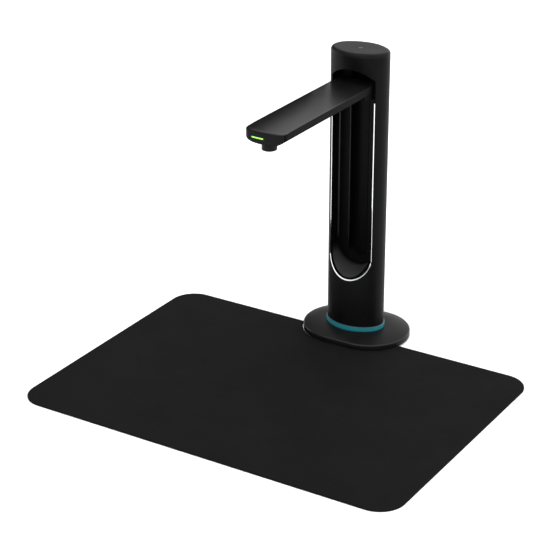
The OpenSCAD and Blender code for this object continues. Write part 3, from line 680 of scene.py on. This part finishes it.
def crownHeight(x, y):
    reach = math.hypot(max(abs(x) - foot["half"], 0), y - foot["back"])
    run = max(reach - foot["flat"], 0)
    return foot["crown"] - foot["dome"] + math.sqrt(foot["dome"] ** 2 - run ** 2)


def onCrown(line, below=0.0):
    return [(x, y, crownHeight(x, y) - below) for x, y in line]


def footLine(inset):
    return stadiumLine(foot["half"], foot["radius"] - inset, 56, 14, (0, foot["back"]))


def makeFootCover():
    bevel, rim, seam, chamfer = foot["bevel"], foot["rim"], foot["seam"], foot["chamfer"]
    rimLine = footLine(bevel + 0.1)
    seat = [ovalTowards(math.atan2(y, x), foot["ringGap"]) for x, y in rimLine]
    throat = [ovalTowards(math.atan2(y, x), -column["wall"]) for x, y in rimLine]
    inner = footLine(foot["wall"])
    loops = [atHeight(footLine(chamfer), seam), atHeight(footLine(0), seam + chamfer)]
    # small steps round both edges of the bevel
    loops += [atHeight(footLine(0), rim - bevel - 0.12), atHeight(footLine(0.06), rim - bevel + 0.05)]
    loops += [onCrown(footLine(bevel - 0.18), 0.16), onCrown(rimLine)]
    loops += [onCrown(partWay(rimLine, seat, share)) for share in foot["topShares"]]
    loops += [atHeight(seat, foot["ringSeat"]), atHeight(throat, foot["ringSeat"])]
    loops += [onCrown(partWay(throat, inner, share), foot["wall"]) for share in foot["innerShares"]]
    loops.append(atHeight(inner, seam))
    cover = makeMesh("footCover", *loft(loops, ring=True), sharp=28)
    dressPiece(cover, "stand", "housing", ["base_cover"])
    # the bevel round the rim gets a paler, glossier copy of the housing: painted highlight, with real
    # extra gloss
    highlightStart = foot["highlightFrom"]
    addFinish(cover, "rimHighlight", lambda middle, facing: middle.z > highlightStart and 0.3 < facing.z < 0.88)


def makeFootTray():
    loops = [atHeight(footLine(inset), z) for inset, z in foot["tray"]]
    tray = makeMesh("footTray", *loft(loops, closeStart=True, closeEnd=True))
    dressPiece(tray, "stand", "housing", ["base_tray"])


makeFootCover()
makeFootTray()
print("foot moulded")

lightBand = {"low": 13.0, "high": 19.5, "proud": 1.2, "edge": 1.0}


def makeLightBand():
    proud, low, high, edge = lightBand["proud"], lightBand["low"], lightBand["high"], lightBand["edge"]
    levels = [(proud - 0.1, low), (proud, low + 0.2), (proud, high - edge)]
    levels += [(proud - inset, z) for inset, z in quarterRound(edge, high, 5)]
    levels += [(-column["wall"], high), (-column["wall"], low)]
    band = makeMesh("lightBand", *loft([ovalLoop(grow, z) for grow, z in levels], ring=True))
    dressPiece(band, "stand", "light_guide", ["light_ring"])


makeLightBand()
print("light band set")

slot = {
    "half": 28.4, "mid": 105.9348, "cornerX": 24.4, "cornerZ": 323.978, "cornerR": 4.0,
    "archZ": 300.3, "archR": 38.0, "edge": 0.32, "lap": 0.2, "cut": (-60, -1),
    "aside": 0.55,  # the opening sits a little to the right
}
socket = {"z": 66.0, "half": 3.0, "radius": 1.95, "edge": 0.25, "cut": (10, 60)}
shellEdgeAngle = 50


def slotLine(inset):
    half = slot["half"] - inset
    line = arc((0, slot["mid"]), half, 180, 360, 48)
    line += [(half, slot["mid"] + (slot["cornerZ"] - slot["mid"]) * i / 6) for i in range(1, 6)]
    lean = math.degrees(math.atan2(slot["cornerZ"] - slot["archZ"], slot["cornerX"]))
    line += arc((slot["cornerX"], slot["cornerZ"]), slot["cornerR"] - inset, 0, lean, 8)
    line += arc((0, slot["archZ"]), slot["archR"] - inset, lean, 180 - lean, 30)[1:]
    line += arc((-slot["cornerX"], slot["cornerZ"]), slot["cornerR"] - inset, 180 - lean, 180, 8)[1:]
    for i in range(1, 6):
        line.append((-half, slot["cornerZ"] + (slot["mid"] - slot["cornerZ"]) * i / 6))
    return [(x + slot["aside"], z) for x, z in line]


def shellHalf(name, start, end, count):
    seam, low, high, wall = column["seam"], column["low"], column["shellTop"], column["wall"]
    fine = column["capSeam"]
    section = [(-seam, low), (0, low + seam), (0, high - fine), (-fine, high), (-wall, high), (-wall, low)]
    loops = []
    for i in range(count + 1):
        along = start + (end - start) * i / count
        loops.append([(*ovalAt(along, grow), z) for grow, z in section])
    return makeMesh(name, *loft(loops, closeStart=True, closeEnd=True))


def finishShell(shell, cutter, edge, node):
    cutAway(shell, [cutter])
    softEdge(shell, edge, shellEdgeAngle)
    bakeModifiers(shell)
    dressPiece(shell, "stand", "housing", [node], "columnShade")


def makeShells():
    lean = math.acos(-column["split"] / column["endR"])  # where the two shells meet, on the round end
    meet = frontRun / 2 + (lean - flare) * column["endR"]
    front = shellHalf("columnFront", -meet, meet, 84)
    opening = prismThrough("slotCutter", slotLine(slot["lap"]), *slot["cut"])
    finishShell(front, opening, slot["edge"], "column_front")
    rear = shellHalf("columnRear", meet, ovalRun - meet, 64)
    inlet = stadiumLine(socket["half"], socket["radius"], 16, 4, (0, socket["z"]))
    finishShell(rear, prismThrough("socketCutter", inlet, *socket["cut"]), socket["edge"], "column_rear")


makeShells()
print("column shells cut")

cap = {
    "edge": 4.0, "keyR": 4.6, "keySink": 356.65, "keyLip": 0.12, "keyDraft": 0.985,
    "topShares": (0.06, 0.3, 0.6, 0.86, 1.0),
}
touchKey = {
    "sides": 64,
    "profile": [
        (0.0, 356.7), (4.3, 356.7), (4.42, 356.82), (4.42, 357.2), (4.36, 357.34), (4.2, 357.42),
        (3.9, 357.43), (3.2, 357.36), (2.0, 357.28), (0.9, 357.24), (0.0, 357.23),
    ],
}


def makeCap():
    low, high, edge, fine = column["shellTop"], column["top"], cap["edge"], column["capSeam"]
    loops = [ovalLoop(-column["wall"], low), ovalLoop(-fine, low), ovalLoop(0, low + fine)]
    loops.append(ovalLoop(0, high - edge))
    loops += [ovalLoop(-inset, z) for inset, z in quarterRound(edge, high, 9)]
    brink = [(x, y) for x, y, z in loops[-1]]
    well = []
    for x, y in brink:
        turn = math.atan2(y, x)
        well.append((cap["keyR"] * math.cos(turn), cap["keyR"] * math.sin(turn)))
    loops += [atHeight(partWay(brink, well, share), high) for share in cap["topShares"]]
    wellSide = [(x * cap["keyDraft"], y * cap["keyDraft"]) for x, y in well]
    loops += [atHeight(wellSide, high - cap["keyLip"]), atHeight(wellSide, cap["keySink"])]
    top = makeMesh("columnCap", *loft(loops, closeStart=True, closeEnd=True), sharp=28)
    dressPiece(top, "stand", "housing", ["top_cap"])


def makeKey():
    key = makeMesh("touchKey", *loft(lathe(touchKey["profile"], touchKey["sides"]), ring=True))
    dressPiece(key, "stand", "key", ["touch_key"])


makeCap()
makeKey()
print("cap and key set")

trim = {
    "lip": 0.66, "lipLow": 0.16, "lean": 0.47, "side": 0.68, "low": 1.25, "slope": 0.7,
    "sunk": 0.14, "back": 0.2, "high": 300.0, "gap": 0.02, "ease": 0.05,
    "sideSteps": 14, "bowSteps": 72,
}


def trimSection(lowness):
    # a lip that leans outwards, then a bright bevel into the pocket, wider round the lower end
    start, sunk, gap, ease = slot["lap"], trim["sunk"], trim["gap"], trim["ease"]
    wide = trim["side"] + (trim["low"] - trim["side"]) * lowness
    drop = wide * trim["slope"]
    deep = sunk + drop + trim["back"]
    lip = trim["lip"] + (trim["lipLow"] - trim["lip"]) * lowness
    crest, lean = start + lip, trim["lean"] * lip
    section = [(start + gap, deep), (start + gap, sunk + lean + 0.12), (start + 0.06, sunk + lean)]
    section += [(crest - ease, sunk + 0.03), (crest, sunk), (crest + ease, sunk + 0.04)]
    section += [(crest + wide * i / 4, sunk + drop * i / 4) for i in range(1, 5)]
    section += [(crest + wide + ease, sunk + drop + 0.15), (crest + wide + ease, deep)]
    return section


def makeTrim():
    half, mid, steps, bow = slot["half"], slot["mid"], trim["sideSteps"], trim["bowSteps"]
    rise = trim["high"] - mid
    line = [(-half, trim["high"] - rise * i / steps, 1, 0) for i in range(steps)]
    for i in range(bow + 1):
        turn = math.pi + math.pi * i / bow
        line.append((half * math.cos(turn), mid + half * math.sin(turn), -math.cos(turn), -math.sin(turn)))
    line += [(half, mid + rise * i / steps, -1, 0) for i in range(1, steps + 1)]
    loops = []
    for x, z, nx, nz in line:
        loop = []
        for inset, depth in trimSection(nz ** 2):
            px, pz = x + nx * inset + slot["aside"], z + nz * inset
            loop.append((px, ovalFront(px, -depth), pz))
        loops.append(loop)
    strip = makeMesh("slotTrim", *loft(loops, closeStart=True, closeEnd=True), sharp=25)
    dressPiece(strip, "stand", "trim", ["slot_trim"])


makeTrim()
print("trim laid in")

cove = {
    "r": 1.7, "thin": 0.2, "wall": 26.8, "shelf": 1.0, "bed": 0.04,
    "low": 117.0, "fade": 8.0, "high": 302.0,
}
rail = {
    "r": 0.75, "thin": 0.15, "x": 12.0, "shelf": 1.0, "bed": 0.1, "sides": 16,
    "low": 112.0, "fade": 14.0, "high": 302.0,
}


def fadingPair(name, piece, section, sharp):
    # one strip on each side of the pocket, which fades out near the lower end
    full = piece["low"] + piece["fade"]
    heights = ((piece["low"], piece["thin"]), (full, piece["r"]), (piece["high"], piece["r"]))
    strips = []
    for side in (-1, 1):
        loops = [atHeight(section(side, r), z) for z, r in heights]
        strips.append(loft(loops, closeStart=True, closeEnd=True))
    pair = makeMesh(name, *gather(strips), sharp=sharp)
    dressPiece(pair, "stand", "liner", [], "railHighlight")
    return pair


def coveSection(side, r):
    wall, shelf, bed = cove["wall"], cove["shelf"], cove["bed"]
    section = [(wall + bed, shelf + bed), (wall + bed, shelf - r)]
    section += arc((wall - r, shelf - r), r, 0, 90, 10)
    section.append((wall - r, shelf + bed))
    return [(side * x, y) for x, y in section]


def beadSection(side, r):
    centre = (side * rail["x"], rail["shelf"] + rail["bed"])
    return arc(centre, r, 0, 360, rail["sides"])[:-1]


fadingPair("pocketCoves", cove, coveSection, 50)
print("pocket corners filled")

beads = fadingPair("troughBeads", rail, beadSection, 60)
addFinish(beads, "liner", lambda middle, facing: middle.x > 0)  # the right bead gets the darker, matt pocket finish: painted shade that hides its highlight
print("trough edges beaded")


arm = {
    "half": 25.0, "root": -1.0, "tip": -209.5, "top": 320.5, "parting": 312.0, "crown": 0.12,
    "cornerR": 8.0, "bowR": 120.0, "topR": 1.8, "sideR": 0.5, "rootR": 0.25, "fadeRun": 26.0, "lowR": 3.0,
    "bellyR": 48.1429, "bellyZ": 353.1429, "bellyBack": -34.0, "fuller": 0.7,
    "wall": 1.8, "seam": 0.2, "sharp": 30, "sideSteps": 18, "crowding": 1.6,
    "noseRows": (0, 0.12, 0.35, 0.7, 1.15, 1.7, 2.4, 3.5), "longShares": (0.04, 0.12, 0.35, 0.7, 1.0),
}
lens = {
    "y": -195.6, "radius": 8.5, "low": 296.7, "top": 309.0, "wall": 1.8, "gap": 0.12,
    "bulge": 12.0, "glassInset": 1.84, "glassLow": 1.4, "glassTop": 3.8,
    # inset and rise, from the barrel's outside round its lower edge to the inside
    "steps": [
        (0, 2.2), (0.1, 2.1), (0.1, 1.9), (0, 1.8), (0, 0.55), (0.12, 0.2), (0.4, 0), (0.75, 0),
        (0.85, 0.1), (0.95, 0.5), (1.2, 0.5), (1.3, 0.85), (1.55, 0.85), (1.6, 1.15), (1.8, 1.2),
    ],
}
lamp = {"y": -146.6, "half": 17.0, "radius": 7.0, "gap": 0.05, "cut": (300, 316)}
status = {
    "x": -6.5, "z": 312.5, "half": 7.45, "radius": 1.25, "gap": 0.05, "ahead": 6.0, "behind": 4.0,
    "levels": [(0.0, 1.6), (0.0, 0.05), (0.08, -0.06), (0.28, -0.14), (0.6, -0.18), (0.95, -0.2)],
}
armScrew = {
    "x": 9.0, "rows": (-44.0, -108.0), "head": 305.9, "boss": (3.4, 300, 309), "well": (2.2, 300, 307),
    "cross": (1.15, 0.26, 0.55),  # half length, half width, depth
    "profile": [
        (0.0, 0), (1.5, 0), (1.82, 0.08), (1.98, 0.28), (1.98, 1.0), (1.0, 1.0), (1.0, 10.9), (0.0, 10.9),
    ],
}

bowY = arm["tip"] + arm["bowR"]
cornerX = arm["half"] - arm["cornerR"]
cornerY = bowY - math.sqrt((arm["bowR"] - arm["cornerR"]) ** 2 - cornerX ** 2)
bowLean = math.degrees(math.asin(cornerX / (arm["bowR"] - arm["cornerR"])))
screwPlaces = [(side * armScrew["x"], y) for side in (-1, 1) for y in armScrew["rows"]]


def tipFront(x, shrink=0.0):
    meet = (arm["bowR"] - shrink) * math.sin(math.radians(bowLean))
    if abs(x) <= meet:
        return bowY - math.sqrt((arm["bowR"] - shrink) ** 2 - x ** 2)
    radius = arm["cornerR"] - shrink
    return cornerY - math.sqrt(max(radius ** 2 - (abs(x) - cornerX) ** 2, 0))


def armLine(shrink, root):
    half, steps = arm["half"] - shrink, arm["sideSteps"]
    # points crowd together towards the tip
    sideRows = [root + (cornerY - root) * (1 - (1 - i / steps) ** arm["crowding"]) for i in range(steps)]
    line = [(half - 2 * half * i / 10, root) for i in range(10)]
    line += [(-half, y) for y in sideRows]
    line += arc((-cornerX, cornerY), arm["cornerR"] - shrink, 180, 270 - bowLean, 12)
    line += arc((0, bowY), arm["bowR"] - shrink, 270 - bowLean, 270 + bowLean, 20)[1:-1]
    line += arc((cornerX, cornerY), arm["cornerR"] - shrink, 270 + bowLean, 360, 12)
    line += [(half, y) for y in reversed(sideRows[1:])]
    return line


def armTopAt(x):
    return arm["top"] - arm["crown"] * (x / arm["half"]) ** 2


def atRoot(y):
    return y > arm["root"] - 0.01


def edgeRound(y):
    if atRoot(y):
        return arm["rootR"]
    if y <= cornerY:
        return arm["topR"]
    fade = max(0.0, 1 - (y - cornerY) / arm["fadeRun"])
    return arm["sideR"] + (arm["topR"] - arm["sideR"]) * fade ** 2


def statusCutter():
    line = stadiumLine(status["half"], status["radius"] + status["gap"], 14, 4, (status["x"], status["z"]))
    return prismThrough("statusCutter", line, arm["tip"] - status["ahead"], arm["tip"] + status["behind"])


def makeArmTop():
    line = armLine(0.0, arm["root"])
    normals = outwardNormals(line)
    # the rear edge stays straight, and its two corners stay square
    normals = [(0, 1) if atRoot(y) else normal for (x, y), normal in zip(line, normals)]
    rounds = [edgeRound(y) for x, y in line]
    loops = [atHeight(drawnIn(line, normals, arm["seam"]), arm["parting"])]
    loops.append(atHeight(line, arm["parting"] + arm["seam"]))
    for step in (0, 15, 30, 45, 60, 75, 90):
        turn = math.radians(step)
        loop = []
        for (x, y), (nx, ny), r in zip(line, normals, rounds):
            inset = r * (1 - math.cos(turn))
            crest = armTopAt(x - nx * r)
            loop.append((x - nx * inset, y - ny * inset, crest - r + r * math.sin(turn)))
        loops.append(loop)
    brink = loops[-1]
    for step in range(1, 11):
        share = 1 - step / 10
        loops.append([(x * share, y, armTopAt(x * share)) for x, y, z in brink])
    top = makeMesh("armTop", *loft(loops, closeStart=True), sharp=arm["sharp"])
    ceiling = arm["top"] - arm["crown"] - arm["wall"]
    hollow = prismUp("armHollow", armLine(arm["wall"], arm["root"] + 3), arm["parting"] - 1, ceiling)
    cutAway(top, [hollow, statusCutter()], sharp=arm["sharp"])
    dressPiece(top, "arm", "housing", ["arm_top"], "armSatin")
    addFinish(top, "housing", lambda middle, facing: facing.z < 0.6)
    addFinish(top, "armSideShade", lambda middle, facing: abs(facing.x) > 0.8)  # the long sides get a darker, duller copy: painted shade


def bellyHeight(x, behind, shrink):
    side = (x / arm["half"]) ** 2
    curve = arm["bellyZ"] - math.sqrt((arm["bellyR"] - shrink) ** 2 - x ** 2)
    curve -= arm["fuller"] * 4 * side * (1 - side)  # fuller towards the sides
    r = max(arm["lowR"] - shrink, 0.4)
    if behind >= r:
        return curve
    nose = arm["bellyZ"] - arm["bellyR"] + shrink + r - math.sqrt(r ** 2 - (r - behind) ** 2)
    return max(curve, nose)


def bellySolid(name, shrink, back, lid):
    half = arm["half"] - shrink
    across = [half * math.sin(math.pi / 2 * (i / 24 - 1)) for i in range(49)]
    floor, roof = [], []
    for x in across:
        front = tipFront(x, shrink)
        rows = [front + step for step in arm["noseRows"]]
        rows += [rows[-1] + (back - rows[-1]) * share for share in arm["longShares"]]
        floor.append([(x, y, min(bellyHeight(x, y - front, shrink), lid)) for y in rows])
        roof.append([(x, y, lid) for y in rows])
    deep = len(floor[0])
    points = [point for strip in floor + roof for point in strip]
    shift = len(floor) * deep
    faces = []
    for i in range(len(floor) - 1):
        for j in range(deep - 1):
            a, b = i * deep + j, (i + 1) * deep + j
            faces.append((a, b, b + 1, a + 1))
            faces.append((shift + a, shift + a + 1, shift + b + 1, shift + b))
        for j in (0, deep - 1):
            a, b = i * deep + j, (i + 1) * deep + j
            faces.append((a, b, shift + b, shift + a))
    for i in (0, len(floor) - 1):
        for j in range(deep - 1):
            a = i * deep + j
            faces.append((a, a + 1, shift + a + 1, shift + a))
    return makeMesh(name, points, faces, sharp=arm["sharp"])


def rodUp(name, place, radius, low, high, count):
    profile = [(0.0, low), (radius, low), (radius, high), (0.0, high)]
    return makeMesh(name, *loft(lathe(profile, count, place), ring=True))


def makeArmBelly():
    belly = bellySolid("armBelly", 0.0, arm["bellyBack"], arm["parting"])
    hollow = bellySolid("bellyHollow", arm["wall"], arm["bellyBack"] + 4, arm["parting"] + 2)
    cutAway(hollow, [rodUp("boss", place, *armScrew["boss"], 32) for place in screwPlaces])
    window = stadiumLine(lamp["half"], lamp["radius"] + lamp["gap"], 20, 6, (lamp["y"], 0))
    cutters = [hollow, prismUp("lampCutter", [(x, y) for y, x in window], *lamp["cut"]), statusCutter()]
    cutters.append(rodUp("lensCutter", (0, lens["y"]), lens["radius"] + lens["gap"], 290, 330, 72))
    cutters += [rodUp("screwWell", place, *armScrew["well"], 36) for place in screwPlaces]
    cutAway(belly, cutters, sharp=arm["sharp"])
    dressPiece(belly, "arm", "housing", ["arm_belly"])


makeArmTop()
makeArmBelly()
print("arm mouldings cut")


def makeLens():
    r, low, top = lens["radius"], lens["low"], lens["top"]
    profile = [(r - lens["wall"], top), (r, top)]
    profile += [(r - inset, low + rise) for inset, rise in lens["steps"]]
    barrel = makeMesh("lensBarrel", *loft(lathe(profile, 96, (0, lens["y"])), ring=True))
    dressPiece(barrel, "arm", "lens_black", ["lens_barrel"])
    bulge, rim = lens["bulge"], r - lens["glassInset"]
    face = []
    for i in range(13):
        reach = rim * i / 12
        face.append((reach, low + lens["glassLow"] + bulge - math.sqrt(bulge ** 2 - reach ** 2)))
    face += [(rim, low + lens["glassTop"]), (0.0, low + lens["glassTop"])]
    glass = makeMesh("frontGlass", *loft(lathe(face, 64, (0, lens["y"])), ring=True))
    dressPiece(glass, "arm", "lens_glass", ["lens_glass"])


def makeStatusBar():
    loops = []
    for inset, behind in status["levels"]:
        line = stadiumLine(status["half"], status["radius"] - inset, 14, 10, (status["x"], status["z"]))
        loops.append([(x, tipFront(x) + behind, z) for x, z in line])
    bar = makeMesh("statusBar", *loft(loops, closeStart=True, closeEnd=True), sharp=60)
    dressPiece(bar, "arm", "status_green", ["status_light"])


def makeArmScrews():
    head = armScrew["head"]
    profile = [(radius, head + rise) for radius, rise in armScrew["profile"]]
    screw = makeMesh("screwMaster", *loft(lathe(profile, 40), ring=True))
    long, narrow, depth = armScrew["cross"]
    cutters = []
    for wide, deep in ((long, narrow), (narrow, long)):
        line = [(-wide, -deep), (wide, -deep), (wide, deep), (-wide, deep)]
        cutters.append(prismUp("cross", line, head - 1, head + depth))
    cutAway(screw, cutters)
    corners = [vertex.co / mm for vertex in screw.data.vertices]
    sides = [tuple(polygon.vertices) for polygon in screw.data.polygons]
    bpy.data.objects.remove(screw)
    copies = []
    for x, y in screwPlaces:
        copies.append(([(px + x, py + y, pz) for px, py, pz in corners], sides))
    screws = makeMesh("armScrews", *gather(copies))
    dressPiece(screws, "arm", "steel", ["arm_screws"])


makeLens()
makeStatusBar()
makeArmScrews()
print("lens, status bar and screws set")

# inner pieces stay as packed, with softened edges and a finish of their own
packedEdges = {"width": 0.12, "angle": 32, "weld": 0.002}
wideEdges = {
    "pocket_liner": 0.9, "arm_knuckle": 0.5, "column_foot": 0.3, "base_pad": 0.4, "data_socket": 0.08,
}
packedSlots = {row["node"]: row["material_slot"] for row in frame["record"]["subparts"]}


def dressNode(node):
    obj = cadNodes[node]
    obj.data.materials.clear()
    obj.data.materials.append(finishes[packedSlots[node]])
    weld = obj.modifiers.new("weld", "WELD")
    weld.merge_threshold = packedEdges["weld"] * mm
    soft = softEdge(obj, wideEdges.get(node, packedEdges["width"]), packedEdges["angle"])
    soft.use_clamp_overlap = True
    soft.harden_normals = True


for node in cadNodes:
    if not cadNodes[node].hide_render:
        dressNode(node)
print("packed nodes dressed")

studio = {
    "floorHalf": 30.0, "floorZ": -0.0002,  # metres
    "airLeft": 0.22, "airRight": 1.7, "airFrom": -0.72, "airTo": -0.2,  # dim left, bright right
    "topSize": 4.2, "topHeight": 2.6, "topPower": 42.0,
    "leftPlace": (-2.04, -0.1, 0.92), "leftSize": (0.8, 1.7), "leftPower": 5.0,
    "cardX": -36.0, "cardFrom": -226.0, "cardTo": -46.0, "cardLow": 320.0, "cardHigh": 348.0,  # mm
    "backY": 40.0, "backFrom": -110.0, "backTo": -66.0, "backLow": 325.0, "backHigh": 380.0,  # mm
    "flagPlace": (0.6, -1.0, 1.72), "flagHalf": 0.33, "aim": (0, -0.02, 0.09),
}


def squareOf(half):
    return [(-half, -half, 0), (half, -half, 0), (half, half, 0), (-half, half, 0)]


def stageSheet(name, corners, settings, grain, dark, light):
    mesh = bpy.data.meshes.new(name)
    mesh.from_pydata([tuple(corner) for corner in corners], [], [(0, 1, 2, 3)])
    sheet = bpy.data.objects.new(name, mesh)
    scene.collection.objects.link(sheet)
    material, tree, shader = startFinish(name, settings)
    tone = ramp(tree, noise(tree, surfaceSpace(tree), grain), [(0.3, (dark,) * 3), (0.7, (light,) * 3)])
    tree.links.new(tone, shader.inputs["Base Color"])
    mesh.materials.append(material)
    return sheet


def makeFloor():
    settings = {"Roughness": 0.9, "Specular IOR Level": 0.05}
    floor = stageSheet("paleFloor", squareOf(studio["floorHalf"]), settings, 3, 0.9, 0.92)
    floor.location.z = studio["floorZ"]


def reflectionShadeCard(name, corners):
    # a dark card that only reflections see: painted shade in the reflections on the arm, cap and trim
    settings = {"Roughness": 1.0, "Specular IOR Level": 0.0}
    card = stageSheet(name, corners, settings, 80, 0.0, 0.004)
    card.visible_camera = False
    card.visible_diffuse = False
    card.visible_shadow = False


def makeReflectionShadeCards():
    x, near, far = studio["cardX"] * mm, studio["cardFrom"] * mm, studio["cardTo"] * mm
    low, high = studio["cardLow"] * mm, studio["cardHigh"] * mm
    reflectionShadeCard("sideCard", [(x, near, low), (x, far, low), (x, far, high), (x, near, high)])
    left, right, y = studio["backFrom"] * mm, studio["backTo"] * mm, studio["backY"] * mm
    low, high = studio["backLow"] * mm, studio["backHigh"] * mm
    reflectionShadeCard("backCard", [(left, y, low), (right, y, low), (right, y, high), (left, y, high)])
    middle = Vector(studio["flagPlace"])
    turn = (Vector(studio["aim"]) - middle).to_track_quat("-Z", "Y")
    reflectionShadeCard("frontFlag", [middle + turn @ Vector(corner) for corner in squareOf(studio["flagHalf"])])


def softBox(name, place, size, power, aim):
    data = bpy.data.lights.new(name, "AREA")
    data.shape = "RECTANGLE"
    data.size, data.size_y = size
    data.energy = power
    box = bpy.data.objects.new(name, data)
    box.location = place
    box.rotation_euler = (Vector(aim) - Vector(place)).to_track_quat("-Z", "Y").to_euler()
    box.visible_camera = False
    scene.collection.objects.link(box)


def makeAir():
    world = bpy.data.worlds.new("studioAir")
    world.use_nodes = True
    tree = world.node_tree
    air = tree.nodes["Background"]
    air.inputs["Color"].default_value = (1, 1, 1, 1)
    across = axes(tree, tree.nodes.new("ShaderNodeTexCoord").outputs["Generated"])["X"]
    shade = spread(
        tree, across, studio["airLeft"], studio["airRight"], studio["airFrom"], studio["airTo"]
    )
    tree.links.new(shade, air.inputs["Strength"])
    scene.world = world


makeFloor()
makeReflectionShadeCards()
makeAir()
topSize = studio["topSize"]
softBox("topBox", (0, 0, studio["topHeight"]), (topSize, topSize), studio["topPower"], (0, 0, 0))
softBox("leftBox", studio["leftPlace"], studio["leftSize"], studio["leftPower"], studio["aim"])
scene.view_settings.view_transform = "Standard"
print("studio set")
